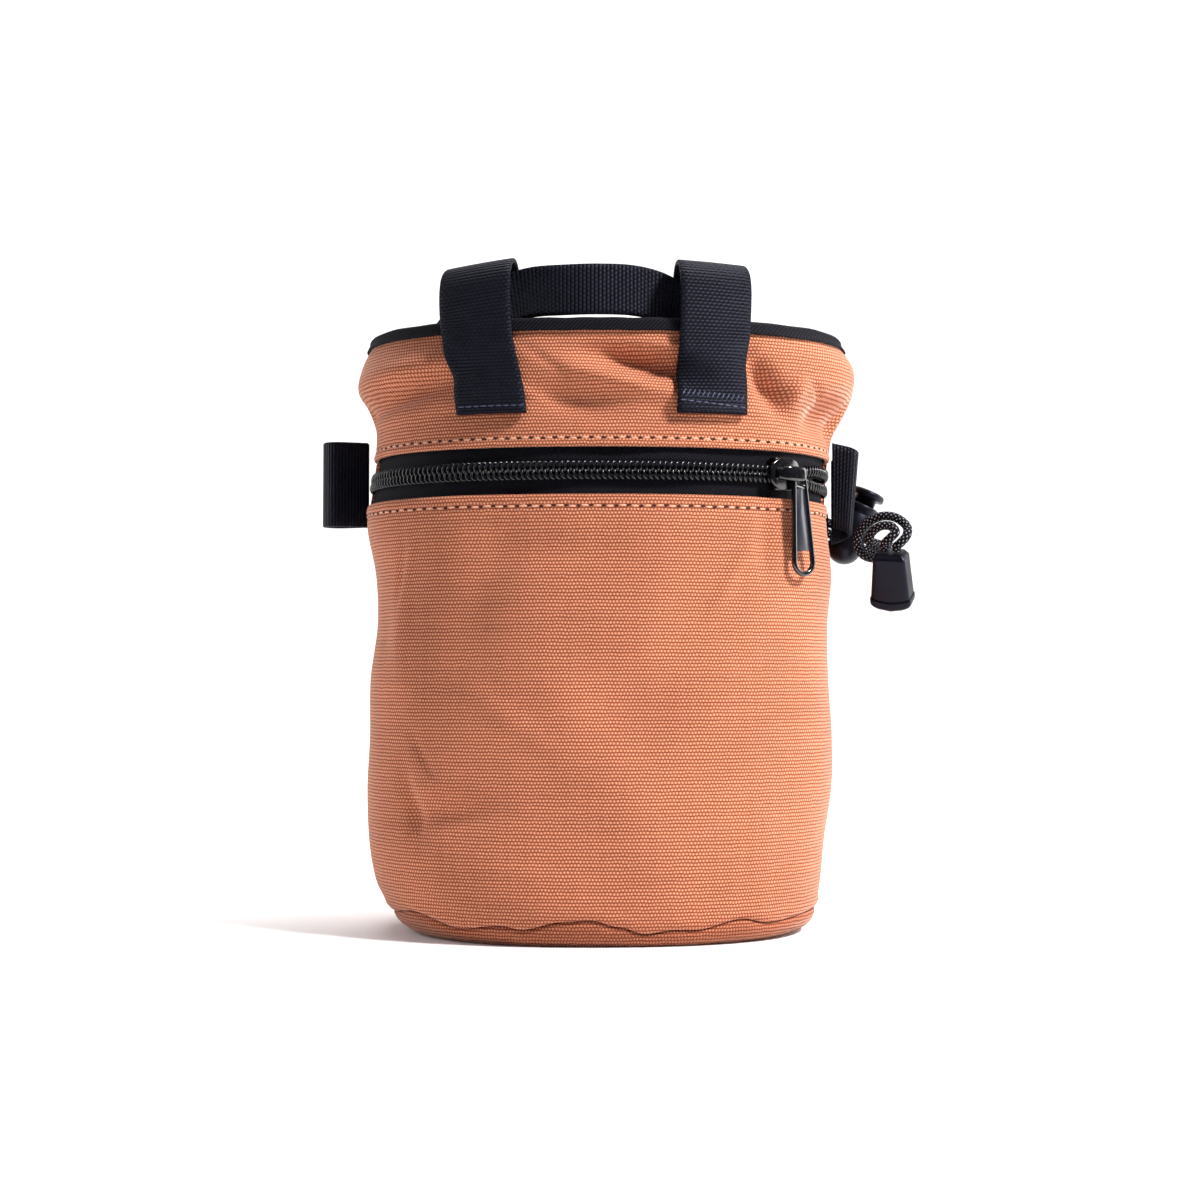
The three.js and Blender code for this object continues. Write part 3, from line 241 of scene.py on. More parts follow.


# Solution-dyed nylon braid, drawn with twelve ends, six each way and once round the cord in 8.4 mm: plaited
# relief, near black, with pale flecks on the yarn crowns that are painted highlights.
braid, shader = finish_for("braided_nylon", "#0b0a0f", 0.5, Specular_IOR_Level=0.1)
chart = add(braid, "UVMap", uv_map="cloth")
plait_length = 8.4
plaits = 6
waves = []
for lean in (1, -1):
    lay = (plaits, lean * plaits / plait_length, 1)
    turned = add(braid, "Mapping", {"Vector": chart.outputs[0], "Scale": lay})
    split = add(braid, "SeparateXYZ", {"Vector": turned.outputs[0]})
    total = add(braid, "Math", {0: split.outputs[0], 1: split.outputs[1]}, operation="ADD")
    radians = add(braid, "Math", {0: total.outputs[0], 1: math.pi}, operation="MULTIPLY")
    wave = add(braid, "Math", {0: radians.outputs[0]}, operation="SINE")
    waves.append(add(braid, "Math", {0: wave.outputs[0]}, operation="ABSOLUTE"))
relief = add(braid, "Math", {0: waves[0].outputs[0], 1: waves[1].outputs[0]}, operation="MULTIPLY")
# pale flecks on the crowns of the plait: painted highlight
painted_highlight_flecks = add(braid, "ValToRGB", {"Fac": relief.outputs[0]})
painted_highlight_flecks.color_ramp.elements[0].color = linear("#020203")
painted_highlight_flecks.color_ramp.elements[1].color = linear("#a8a7b8")
painted_highlight_flecks.color_ramp.elements[0].position = 0.72
feed(shader, Base_Color=painted_highlight_flecks)
bump = add(braid, "Bump", {"Height": relief.outputs[0], "Strength": 0.9, "Distance": 0.28 * mm})
feed(shader, Normal=bump)

strands = []
for name, points in strand_routes.items():
    route = smooth_route(points, 8)
    strand = piece_from(tube(route, cord_diameter / 2, 20), name + "_braid", braid)
    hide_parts(name)
    strands.append((strand, route))


# Canvas body: cotton duck, piece dyed a warm clay, cut as a pocket front, a front collar and a back.
# The edges along the zip are turned under and topstitched, the others are sewn in seams that roll inwards.
# The wall follows the solids' on a denser grid, with deeper folds above the zip and finer creases.
canvas_top = 169.5 * mm
half_width = 67 * mm
front_depth = 47 * mm
back_depth = 50 * mm
squareness = 2.25
canvas = 1.3 * mm
base_seam = 5.8 * mm
zip_height = 129.3 * mm
zip_opening = 13.1 * mm
binding_leg = 1.9 * mm
seat_gap = 0.3 * mm
side_seam = 0.36 * mm
seam_roll = 1.25 * mm
# height, left and right half width, front and back depth, as shares of the sizes above
sections = [
    (0, 0.8, 0.83, 0.89, 0.87), (0.013, 0.85, 0.895, 0.93, 0.92), (0.03, 0.89, 0.925, 0.965, 0.955),
    (0.053, 0.93, 0.943, 0.99, 0.98), (0.089, 0.975, 0.957, 1.01, 1), (0.16, 1.005, 0.975, 1.02, 1.01),
    (0.243, 1.012, 1.007, 1.015, 1.01), (0.326, 1.002, 1.012, 1.005, 1), (0.427, 1, 0.995, 1, 1),
    (0.522, 0.97, 0.992, 1, 0.995), (0.605, 0.978, 1.01, 1, 1), (0.694, 1.018, 0.99, 1, 1),
    (0.771, 0.997, 0.995, 0.99, 0.99), (0.843, 0.978, 1.02, 0.97, 0.985), (0.878, 1.003, 1.065, 0.965, 1.005),
    (0.917, 1.042, 1.11, 0.965, 1.03), (0.961, 1.04, 1.11, 0.955, 1.03), (1, 0.995, 1.045, 0.945, 1),
]
# side (-1 front, 1 back), across, height, length, width, tilt in degrees, depth inwards
folds = [
    (-1, 0.17, 0.935, 0.08, 0.022, -11, 0.032), (-1, 0.09, 0.908, 0.1, 0.017, -14, -0.018),
    (-1, -0.12, 0.876, 0.07, 0.024, -10, 0.015), (-1, -0.8, 0.9, 0.085, 0.019, 12, 0.028),
    (-1, -0.82, 0.936, 0.085, 0.026, 8, -0.017), (-1, 0.69, 0.906, 0.05, 0.02, -54, 0.032),
    (-1, 0.81, 0.898, 0.035, 0.014, 58, -0.015), (-1, 0.98, 0.868, 0.05, 0.03, 30, 0.04),
    (-1, -0.24, 0.635, 0.1, 0.03, 0, 0.011), (-1, 0.69, 0.65, 0.055, 0.016, 88, 0.01),
    (-1, -0.78, 0.22, 0.055, 0.012, -77, 0.011), (-1, -0.62, 0.208, 0.08, 0.028, 4, 0.015),
    (-1, -0.83, 0.5, 0.07, 0.018, 90, -0.008), (-1, 0.35, 0.5, 0.2, 0.06, 62, 0.008),
    (-1, -0.1, 0.36, 0.22, 0.06, -58, -0.008), (-1, 0.5, 0.24, 0.16, 0.05, 24, 0.007),
    (-1, -0.5, 0.56, 0.16, 0.045, 70, 0.009), (1, 0.3, 0.93, 0.11, 0.025, 8, 0.022),
    (1, -0.45, 0.915, 0.09, 0.025, -12, 0.018), (1, -0.2, 0.55, 0.14, 0.035, -10, 0.012),
    (1, 0.5, 0.25, 0.1, 0.03, 15, 0.012), (1, 0.1, 0.4, 0.25, 0.06, 66, -0.01),
]
# the same columns, for creases too fine for the solids
creases = [
    (-1, -0.83, 0.605, 0.05, 0.0045, 86, 0.005), (-1, -0.8, 0.6, 0.045, 0.005, 80, -0.003),
    (-1, 0.6, 0.935, 0.04, 0.006, 50, -0.006), (-1, 0.84, 0.925, 0.03, 0.005, 25, 0.006),
    (-1, 0.93, 0.905, 0.02, 0.005, -40, 0.008), (-1, 0.3, 0.965, 0.09, 0.007, -3, -0.004),
    (-1, 0.36, 0.925, 0.05, 0.006, -18, 0.005), (-1, -0.35, 0.9, 0.05, 0.008, -28, -0.0045),
    (-1, -0.22, 0.94, 0.04, 0.007, -35, 0.004), (-1, 0.55, 0.86, 0.06, 0.007, 6, -0.003),
    (-1, -0.55, 0.865, 0.05, 0.007, 10, 0.003), (-1, 0.55, 0.6, 0.07, 0.011, 62, -0.004),
    (-1, 0.1, 0.42, 0.16, 0.022, 24, 0.004), (-1, -0.35, 0.36, 0.1, 0.016, -35, -0.004),
    (-1, 0.4, 0.2, 0.12, 0.014, 10, 0.004), (-1, -0.73, 0.3, 0.045, 0.0055, -62, 0.006),
    (-1, -0.66, 0.26, 0.04, 0.006, 14, -0.005), (-1, 0.2, 0.1, 0.1, 0.01, 6, 0.003),
    (-1, -0.3, 0.12, 0.09, 0.01, -8, -0.003), (-1, 0.75, 0.12, 0.06, 0.01, 30, 0.004),
    (1, 0.1, 0.3, 0.12, 0.02, 25, 0.0045), (1, -0.5, 0.72, 0.1, 0.016, 6, -0.0045),
    (1, 0.45, 0.62, 0.09, 0.014, -30, 0.005), (1, 0.7, 0.9, 0.05, 0.01, 70, 0.007),
]
# share of the half width, height of the base seam as a share of its own
seam_wave = [
    (-1, 1.1), (-0.85, 1.4), (-0.65, 0.76), (-0.45, 1), (-0.36, 0.84), (-0.17, 1.24), (-0.04, 1.34),
    (0.08, 1.02), (0.2, 0.66), (0.32, 0.84), (0.42, 0.8), (0.62, 1.25), (0.75, 0.96), (1, 1.25),
]


def between(low, high, share):
    return low + (high - low) * share


def ease(value, low, high):
    share = min(max((value - low) / (high - low), 0), 1)
    return share * share * (3 - 2 * share)


@functools.cache
def section_at(height):
    """The four shares at a height, on a smooth curve through the sections."""
    share = min(max(height / canvas_top, 0), 1)
    k = max(n for n in range(len(sections) - 1) if sections[n][0] <= share)
    rows = [sections[min(max(n, 0), len(sections) - 1)] for n in range(k - 1, k + 3)]
    span = rows[2][0] - rows[1][0]
    t = (share - rows[1][0]) / span
    values = []
    for c in range(1, 5):
        slope_in = (rows[2][c] - rows[0][c]) / (rows[2][0] - rows[0][0])
        slope_out = (rows[3][c] - rows[1][c]) / (rows[3][0] - rows[1][0])
        values.append(
            between(rows[1][c], rows[2][c], t * t * (3 - 2 * t))
            + t * (1 - t) ** 2 * span * slope_in + t * t * (t - 1) * span * slope_out
        )
    return values


def outline_at(angle, height):
    """A point of the round of the wall and its outward direction, the angle in degrees from the front."""
    left, right, front, back = section_at(height)
    sine, cosine = math.sin(math.radians(angle)), math.cos(math.radians(angle))
    width = half_width * (left if sine < 0 else right)
    depth = front_depth * front if cosine > 0 else back_depth * back
    radius = (abs(sine / width) ** squareness + abs(cosine / depth) ** squareness) ** (-1 / squareness)
    x, y = radius * sine, -radius * cosine
    out_x = math.copysign(abs(x) ** (squareness - 1), x) / width ** squareness
    out_y = math.copysign(abs(y) ** (squareness - 1), y) / depth ** squareness
    size = math.hypot(out_x, out_y)
    return x, y, out_x / size, out_y / size


def fold_depth(x, y, height, rows):
    """How far the folds or creases in rows press the wall in at a point."""
    depth = 0
    for side, across, level, length, width, tilt, deep in rows:
        near = ease(y * side, 0, 5 * mm)
        right, up = x - across * half_width, height - level * canvas_top
        if near and abs(right) + abs(up) < 3.5 * max(length, width) * canvas_top:
            c, s = math.cos(math.radians(tilt)), math.sin(math.radians(tilt))
            along = (right * c + up * s) / (length * canvas_top)
            beside = (up * c - right * s) / (width * canvas_top)
            depth += near * deep * canvas_top * math.exp(-along ** 2 - beside ** 2)
    return depth


def wall(angle, height, inward, fine=False):
    """A point at a distance inside the folded wall, also inside its fine creases where fine is set."""
    x, y, out_x, out_y = outline_at(angle, height)
    fade = 1 - ease(height, canvas_top - binding_leg, canvas_top + binding_leg)
    depth = inward + fade * fold_depth(x, y, height, folds)
    if fine:
        depth += fade * fold_depth(x, y, height, creases)
    return Vector((x - out_x * depth, y - out_y * depth, height))


def seam_height(angle):
    """Height of the wavy base seam."""
    x, y, _, _ = outline_at(angle, base_seam)
    left, right, _, _ = section_at(base_seam)
    share = x / (half_width * (left if x < 0 else right))
    if y > 0:
        ends = between(seam_wave[0][1], seam_wave[-1][1], (share + 1) / 2)
        turn = math.radians(angle)
        return base_seam * (ends + math.cos(5 * turn) * math.cos(turn) ** 2 / 5)
    k = max(n for n in range(len(seam_wave) - 1) if seam_wave[n][0] <= max(share, -1))
    low, high = seam_wave[k], seam_wave[k + 1]
    return base_seam * between(low[1], high[1], ease(share, low[0], high[0]))


ring = [wall(angle, canvas_top / 2, 0) for angle in range(-180, 542)]
girth = [0]
for before, after in zip(ring, ring[1:]):
    girth.append(girth[-1] + (after - before).length / mm)


def across_at(angle):
    """How far round the cloth an angle lies, in mm at half height."""
    whole = int(angle + 180)
    return between(girth[whole], girth[whole + 1], angle + 180 - whole)


def angles_between(low, high):
    """Angles of a panel's columns, closer together where it rolls into its side seams."""
    near = [0, 0.15, 0.4, 0.8, 1.3, 2]
    step = 1.2
    count = round((high - low - 4) / step)
    middle = [between(low + 2, high - 2, k / count) for k in range(1, count)]
    return [low + d for d in near] + middle + [high - d for d in reversed(near)]


def rolled(distance, radius):
    """How far a sewn edge rolls inwards at that distance from the seam."""
    left = max(1 - distance / radius, 0)
    return radius * (1 - math.sqrt(1 - left * left))


def panel(angles, rows_at):
    """A cloth panel on the wall. rows_at(angle) lists height, inward distance and length along the cloth."""
    table = [rows_at(angle) for angle in angles]

    def place(i, j):
        height, inward, _ = table[i][j]
        edge = math.radians(min(angles[i] - angles[0], angles[-1] - angles[i])) * half_width
        return wall(angles[i], height, inward + rolled(edge, seam_roll), True)

    def chart(i, j):
        return across_at(angles[i]), table[i][j][2] / mm

    return grid(len(angles) - 1, len(table[0]) - 1, place, chart)


# Cotton duck: plain weave of paired warp yarns 0.47 mm apart over a thick weft 0.96 mm apart, so its crowns
# stand 0.94 mm apart in each row and the next row is set off by half. Thick and thin yarns streak it, and
# the piece dye is a little uneven. Fuzz on the yarns pales it where the cloth turns away.
def cotton_duck(name, gap, yarn, crown):
    duck, shader = finish_for(
        name, yarn, 0.88, Sheen_Weight=0.5, Sheen_Roughness=0.32, Sheen_Tint=linear("#ffe2d2"),
        Specular_IOR_Level=0.2,
    )
    chart = add(duck, "UVMap", uv_map="cloth")
    stray = add(duck, "TexNoise", {"Vector": chart.outputs[0], "Scale": 0.35, "Detail": 2})
    shift = add(duck, "VectorMath", {0: stray.outputs["Color"], 1: (0.5, 0.5, 0.5)}, operation="SUBTRACT")
    scaled = add(duck, "VectorMath", {0: shift.outputs[0], 3: 0.5}, operation="SCALE")
    yarns = add(duck, "VectorMath", {0: chart.outputs[0], 1: scaled.outputs[0]}, operation="ADD")
    turns = add(duck, "Mapping", {"Vector": yarns.outputs[0], "Scale": (math.tau / 0.94, math.tau / 1.92, 1)})
    split = add(duck, "SeparateXYZ", {"Vector": turns.outputs[0]})
    warp = add(duck, "Math", {0: split.outputs[0]}, operation="SINE")
    weft = add(duck, "Math", {0: split.outputs[1]}, operation="SINE")
    weave = add(duck, "Math", {0: warp.outputs[0], 1: weft.outputs[0]}, operation="MULTIPLY")
    rows = add(duck, "Math", {0: weft.outputs[0]}, operation="ABSOLUTE")
    body = add(duck, "Math", {0: rows.outputs[0], 1: 0.64}, operation="MULTIPLY")
    height = add(duck, "Math", {0: weave.outputs[0], 1: 0.36, 2: body.outputs[0]}, operation="MULTIPLY_ADD")
    # weave colours: dark in the gaps, partly open weave and partly painted shade between the yarns, and pale
    # on the crowns as painted highlight
    colours = add(duck, "ValToRGB", {"Fac": height.outputs[0]})
    colours.color_ramp.elements[0].color = linear(gap)
    colours.color_ramp.elements[1].color = linear(crown)
    colours.color_ramp.elements.new(0.45).color = linear(yarn)
    shade = colours
    # streaks along the weft and the warp, then clouds of dye about 25 mm across
    for scale, low, high in (
        ((0.03, 1.04, 1), 0.93, 1.06), ((2.1, 0.02, 1), 0.95, 1.05), ((0.04, 0.04, 1), 0.92, 1.06),
    ):
        stretched = add(duck, "Mapping", {"Vector": chart.outputs[0], "Scale": scale})
        streak = add(duck, "TexNoise", {"Vector": stretched.outputs[0], "Scale": 1, "Detail": 2})
        level = add(duck, "MapRange", {0: streak.outputs[0], 1: 0.3, 2: 0.7, 3: low, 4: high})
        shade = add(duck, "VectorMath", {0: shade.outputs[0], 3: level.outputs[0]}, operation="SCALE")
    feed(shader, Base_Color=shade)
    bump = add(duck, "Bump", {"Height": height.outputs[0], "Strength": 0.75, "Distance": 0.22 * mm})
    feed(shader, Normal=bump)
    return duck


duck = cotton_duck("piece_dyed_cotton_duck", "#642b19", "#bc6e50", "#e2a07c")
# the same duck in darker colours, as painted shade on the base
shaded_base_duck = cotton_duck("shaded_base_cotton_duck", "#52230f", "#a55b40", "#c88766")

pocket_top = zip_height - zip_opening / 2
collar_foot = zip_height + zip_opening / 2
pocket_stitches = 119.6 * mm
collar_stitches = 138.2 * mm


def hem(distance, stitched):
    """A turned edge: puffed out between the fold and its stitching, and drawn in along the stitching."""
    puff = math.sin(math.pi * min(distance / stitched, 1)) * 0.32 * mm
    drawn = 0.28 * mm * math.exp(-((distance - stitched) / (0.55 * mm)) ** 2)
    return drawn - puff


def lip(above):
    """The soft lip of a panel at a height above the base seam."""
    return -0.45 * mm * math.exp(-((above - 1.4 * mm) / (1.3 * mm)) ** 2)


def foot_rows(angle):
    """Lower edge of a panel: turned in at the base seam under a soft lip."""
    seam = seam_height(angle)
    rows = [(seam + 0.5 * mm, canvas), (seam + 0.08 * mm, 0.8 * mm), (seam, 0.35 * mm), (seam + 0.25 * mm, 0)]
    return seam, [(height, inward, height) for height, inward in rows]


def pocket_rows(angle):
    """The pocket from the base seam up, with its top edge folded in along the zip."""
    seam, rows = foot_rows(angle)
    count = 84
    for k in range(1, count + 1):
        height = between(seam + 0.25 * mm, pocket_top - 0.6 * mm, k / count)
        edge = hem(pocket_top - height, pocket_top - pocket_stitches)
        rows.append((height, lip(height - seam) + edge, height))
    fold = pocket_top + 0.05 * mm
    rows += [(fold - 0.2 * mm, -0.06 * mm, fold), (fold, 0.35 * mm, fold + 0.4 * mm)]
    rows += [(fold, 0.9 * mm, fold + mm), (fold - 0.4 * mm, canvas, fold + 1.5 * mm)]
    rows += [(fold - 7 * mm, canvas, fold + 8 * mm)]
    return rows


def collar_rows(angle):
    """The collar from its edge folded in along the zip up to the rim."""
    fold = collar_foot - 0.05 * mm
    rows = [(fold + 7 * mm, canvas, fold - 8 * mm), (fold + 0.4 * mm, canvas, fold - 1.5 * mm)]
    rows += [(fold, 0.9 * mm, fold - mm), (fold, 0.35 * mm, fold - 0.4 * mm)]
    rows += [(fold + 0.2 * mm, -0.06 * mm, fold)]
    count = 46
    for k in range(count + 1):
        height = between(collar_foot + 0.6 * mm, canvas_top, k / count)
        rows.append((height, hem(height - collar_foot, collar_stitches - collar_foot), height))
    return rows


def back_rows(angle):
    seam, rows = foot_rows(angle)
    count = 110
    for k in range(1, count + 1):
        height = between(seam + 0.25 * mm, canvas_top, k / count)
        rows.append((height, lip(height - seam), height))
    return rows


quarter = 90 - math.degrees(side_seam / 2 / half_width)
front_angles = angles_between(-quarter, quarter)
back_angles = angles_between(180 - quarter, 180 + quarter)
pocket = piece_from(panel(front_angles, pocket_rows), "pocket_front", duck)
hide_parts("pocket_panel")
collar = piece_from(panel(front_angles, collar_rows), "front_collar", duck)
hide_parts("upper_front_panel")
back = piece_from(panel(back_angles, back_rows), "bag_back", duck)
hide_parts("back_panel")


# Base: a dished disc of the same duck, its darker tone painted shade, bagged out under the seam, and the
# fleece cup that stands inside it. The disc's edge is sewn inside the body's turned-in lower edge.
base_thickness = 1.3 * mm
base_lap = 5 * mm


def disc_and_rim(angles, rows_at, middle):
    """A cup: rows up its rim and one point in the middle of its floor."""
    table = [rows_at(angle) for angle in angles]

    def place(i, j):
        return Vector((0, 0, middle)) if j == 0 else table[i % len(angles)][j - 1]

    def chart(i, j):
        point = place(i, j)
        if j < 3:
            return point.x / mm, point.y / mm
        return across_at(angles[0] + i * 360 / len(angles)), point.z / mm

    return closed(grid(len(angles), len(table[0]), place, chart), capped=False)


def base_rows(angle):
    seam = seam_height(angle) - 0.3 * mm
    rows = [wall(angle, 0, 14 * mm), wall(angle, 0, 3 * mm), wall(angle, 0.02 * mm, 0.8 * mm)]
    for k in range(1, 7):
        share = k / 7
        swell = -0.7 * mm * math.sin(math.pi * share)
        rows.append(wall(angle, seam * share, 0.2 * mm + swell))
    tucked = canvas + seat_gap
    rows += [wall(angle, seam, 0.6 * mm), wall(angle, seam + 0.3 * mm, tucked)]
    rows.append(wall(angle, seam + base_lap, tucked))
    return rows


full_turn = [k * 2 for k in range(180)]
base = piece_from(disc_and_rim(full_turn, base_rows, 0), "base_disc", shaded_base_duck)
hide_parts("base_panel")


# Lining: a loose cup of charcoal fleece that keeps the chalk in. It leaves the canvas below the collar to
# make room for the pocket and is bound into the rim.
lining = 1.1 * mm
pocket_space = 1.8 * mm
tape_width = 11.5 * mm
lining_foot = zip_height + tape_width + 1.7 * mm
lining_top = between(lining_foot, canvas_top, 0.444)
fleece, shader = finish_for(
    "brushed_polyester_fleece", "#26252b", 0.95, Sheen_Weight=0.6, Sheen_Roughness=0.6,
    Specular_IOR_Level=0.15,
)
place_in = add(fleece, "TexCoord")
pile = add(fleece, "TexNoise", {"Vector": place_in.outputs["Object"], "Scale": 900, "Detail": 3})
clumps = add(fleece, "TexNoise", {"Vector": place_in.outputs["Object"], "Scale": 140, "Detail": 2})
tuft = add(fleece, "Math", {0: pile.outputs[0], 1: clumps.outputs[0]}, operation="ADD")
colours = add(fleece, "ValToRGB", {"Fac": clumps.outputs[0]})
colours.color_ramp.elements[0].color = linear("#1d1c22")
colours.color_ramp.elements[1].color = linear("#35343c")
feed(shader, Base_Color=colours)
bump = add(fleece, "Bump", {"Height": tuft.outputs[0], "Strength": 0.8, "Distance": 0.5 * mm})
feed(shader, Normal=bump)


def lining_inward(height):
    return canvas + between(pocket_space, seat_gap, ease(height, lining_foot, lining_top))


def lining_rows(angle):
    floor = base_thickness + seat_gap + lining
    edge = canvas + seat_gap * 2 + base_thickness + lining
    rows = [wall(angle, floor, 22 * mm), wall(angle, floor, edge + 6 * mm)]
    rows.append(wall(angle, floor + 1.2 * mm, edge + 2.2 * mm))
    for k in range(60):
        height = between(8 * mm, canvas_top - 0.4 * mm, k / 59)
        rows.append(wall(angle, height, lining_inward(height) + lining))
    return rows


shape = disc_and_rim(full_turn, lining_rows, base_thickness + seat_gap + lining)
bmesh.ops.reverse_faces(shape, faces=shape.faces)
cup = piece_from(shape, "fleece_lining", fleece)
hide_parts("lining")


# Rim binding: black bias-cut twill tape folded over the raw edges of canvas and fleece and sewn through.
# Its diagonal ribs are about 0.8 mm apart.
binding = 0.65 * mm
binding_top = 2 * mm
twill, shader = finish_for("bias_cut_cotton_twill", "#0b0a0f", 0.75, Specular_IOR_Level=0.1)
chart = add(twill, "UVMap", uv_map="cloth")
slanted = add(twill, "Mapping", {"Vector": chart.outputs[0], "Scale": (math.tau / 1.25, -math.tau / 1.1, 1)})
split = add(twill, "SeparateXYZ", {"Vector": slanted.outputs[0]})
lean = add(twill, "Math", {0: split.outputs[0], 1: split.outputs[1]}, operation="ADD")
rib = add(twill, "Math", {0: lean.outputs[0]}, operation="SINE")
closer = add(twill, "Math", {0: split.outputs[0], 1: 2.2}, operation="MULTIPLY")
cross = add(twill, "Math", {0: closer.outputs[0]}, operation="SINE")
relief = add(twill, "Math", {0: cross.outputs[0], 1: 0.25, 2: rib.outputs[0]}, operation="MULTIPLY_ADD")
level = add(twill, "MapRange", {0: relief.outputs[0], 1: -1.2, 2: 1.2})
colours = add(twill, "ValToRGB", {"Fac": level.outputs[0]})
colours.color_ramp.elements[0].color = linear("#030305")
colours.color_ramp.elements[1].color = linear("#1b1a22")
feed(shader, Base_Color=colours)
bump = add(twill, "Bump", {"Height": level.outputs[0], "Strength": 0.8, "Distance": 0.25 * mm})
feed(shader, Normal=bump)

outer = -seat_gap - binding
inner = canvas + seat_gap * 2 + lining + binding
rim_section = []
for k in range(13):
    turn = math.pi * k / 12
    rim_section.append((
        between(outer, inner, (1 - math.cos(turn)) / 2),
        between(canvas_top + 0.6 * mm, canvas_top + binding_top, math.sin(turn)),
    ))
foot = canvas_top - binding_leg
leg = [foot + 0.05 * mm, foot + 0.4 * mm, foot + 1.1 * mm, foot + 1.8 * mm]
rim_section = (
    [(outer + binding, foot + 0.1 * mm)] + [(outer + 0.12 * mm * (k == 0), h) for k, h in enumerate(leg)]
    + rim_section + [(inner - 0.12 * mm * (k == 3), h) for k, h in enumerate(reversed(leg))]
    + [(inner - binding, foot + 0.1 * mm)]
)
rim_length = [0]
for (a, b), (c, d) in zip(rim_section, rim_section[1:]):
    rim_length.append(rim_length[-1] + math.hypot(c - a, d - b) / mm)


def binding_place(i, j):
    inward, height = rim_section[j]
    ripple = 0.12 * mm * math.sin(math.radians(i * 2) * 23) * math.sin(math.radians(i * 2) * 7)
    return wall(i % 180 * 2, height + ripple, inward)


shape = grid(180, len(rim_section) - 1, binding_place, lambda i, j: (across_at(i * 2), rim_length[j]))
rim = piece_from(closed(shape, capped=False), "twill_binding", twill)
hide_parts("rim_binding")


# Zip: a size 5 nylon coil on two herringbone tapes, sewn behind the canvas edges. The coils are closed
# from the left side seam as far as the slider and stand apart beyond it.
tape = 0.6 * mm
chain_width = 6 * mm
chain_depth = 1.9 * mm
chain_split = 0.9 * mm
slider_angle = 56.5
slider_length = 10.5 * mm
herringbone, shader = finish_for("herringbone_polyester_tape", "#08070b", 0.7, Specular_IOR_Level=0.08)
chart = add(herringbone, "UVMap", uv_map="cloth")
split = add(herringbone, "SeparateXYZ", {"Vector": chart.outputs[0]})
# the twill of the tape turns over every 1.6 mm of its width, and its ribs are 0.8 mm apart
folded = add(herringbone, "Math", {0: split.outputs[1], 1: 1.6}, operation="PINGPONG")
slant = add(herringbone, "Math", {0: split.outputs[0], 1: folded.outputs[0]}, operation="ADD")
turned = add(herringbone, "Math", {0: slant.outputs[0], 1: math.tau / 0.8}, operation="MULTIPLY")
rib = add(herringbone, "Math", {0: turned.outputs[0]}, operation="SINE")
level = add(herringbone, "MapRange", {0: rib.outputs[0], 1: -1})
colours = add(herringbone, "ValToRGB", {"Fac": level.outputs[0]})
colours.color_ramp.elements[0].color = linear("#040307")
colours.color_ramp.elements[1].color = linear("#14131b")
feed(shader, Base_Color=colours)
bump = add(herringbone, "Bump", {"Height": level.outputs[0], "Strength": 0.7, "Distance": 0.18 * mm})
feed(shader, Normal=bump)


def split_at(angle):
    """Half the gap between the coils."""
    past = slider_angle + math.degrees(slider_length / 2 / front_depth)
    return between(0, chain_split, ease(angle, past, past + 10))


def zip_tape(side):
    """A tape from the middle of the chain up (1) or down (-1), sagging a little between its rows."""
    rows = 12

    def place(i, j):
        angle = front_angles[i]
        near = split_at(angle) + 0.12 * mm
        away = between(near, tape_width, j / rows)
        sag = 0.25 * mm * math.sin(math.radians(angle) * 9 + side) * math.sin(math.pi * j / rows)
        return wall(angle, zip_height + side * away, canvas + seat_gap + sag)

    shape = grid(len(front_angles) - 1, rows, place, lambda i, j: (across_at(front_angles[i]), j * 0.95))
    if side < 0:
        bmesh.ops.reverse_faces(shape, faces=shape.faces)
    bmesh.ops.solidify(shape, geom=shape.faces, thickness=tape)
    return shape


for side, name in ((1, "upper"), (-1, "lower")):
    strip = piece_from(zip_tape(side), name + "_herringbone_tape", herringbone)
    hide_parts("zip_tape_" + name)

# Nylon monofilament, extruded and pressed into a coil: hard, smooth and black, with a bright line on each
# turn.
filament, shader = finish_for("nylon_monofilament", "#08070c", 0.2, Specular_IOR_Level=0.4, Coat_Weight=0.2)
haze = add(filament, "TexNoise", {"Scale": 2500, "Detail": 1})
level = add(filament, "MapRange", {0: haze.outputs[0], 3: 0.16, 4: 0.34})
feed(shader, Roughness=level)
coil_pitch = 1.6
wire = 0.41 * mm


def coil_route(side):
    """Flattened turns along the tape edge: out over the front, round the chain's middle and back behind."""
    route = []
    start, end = across_at(front_angles[1]) + 0.5, across_at(front_angles[-2]) - 0.5
    turns = int((end - start) / coil_pitch)
    angle = front_angles[1]
    per_turn = 14
    for k in range(turns * per_turn + 1):
        share = k / per_turn
        turn = int(share) + ease(share % 1, 0.2, 0.8)
        around = start + (turn + (0.5 if side > 0 else 0)) * coil_pitch
        while angle < 90 and across_at(angle) < around:
            angle += 0.05
        phase = math.tau * share
        half = chain_width / 2 - 0.45 * mm
        lift = half * (0.5 - 0.5 * math.cos(phase)) + 0.08 * mm
        if split_at(angle) < 0.3 * mm:
            lift -= 0.3 * mm
        deep = canvas + seat_gap - chain_depth / 2 - (chain_depth / 2 - wire) * math.sin(phase)
        route.append(wall(angle, zip_height + side * (split_at(angle) + lift), deep))
    return route


for side, name in ((1, "upper"), (-1, "lower")):
    coil = piece_from(tube(coil_route(side), wire, 8), name + "_nylon_coil", filament)
    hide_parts("zip_coil_" + name)
    middles = []
    for angle in front_angles[1:-1]:
        height = zip_height + side * (split_at(angle) + chain_width / 4)
        middles.append(wall(angle, height, canvas + seat_gap - chain_depth / 2))
    piece_from(tube(middles, 0.62 * mm, 8), name + "_coil_core", herringbone)
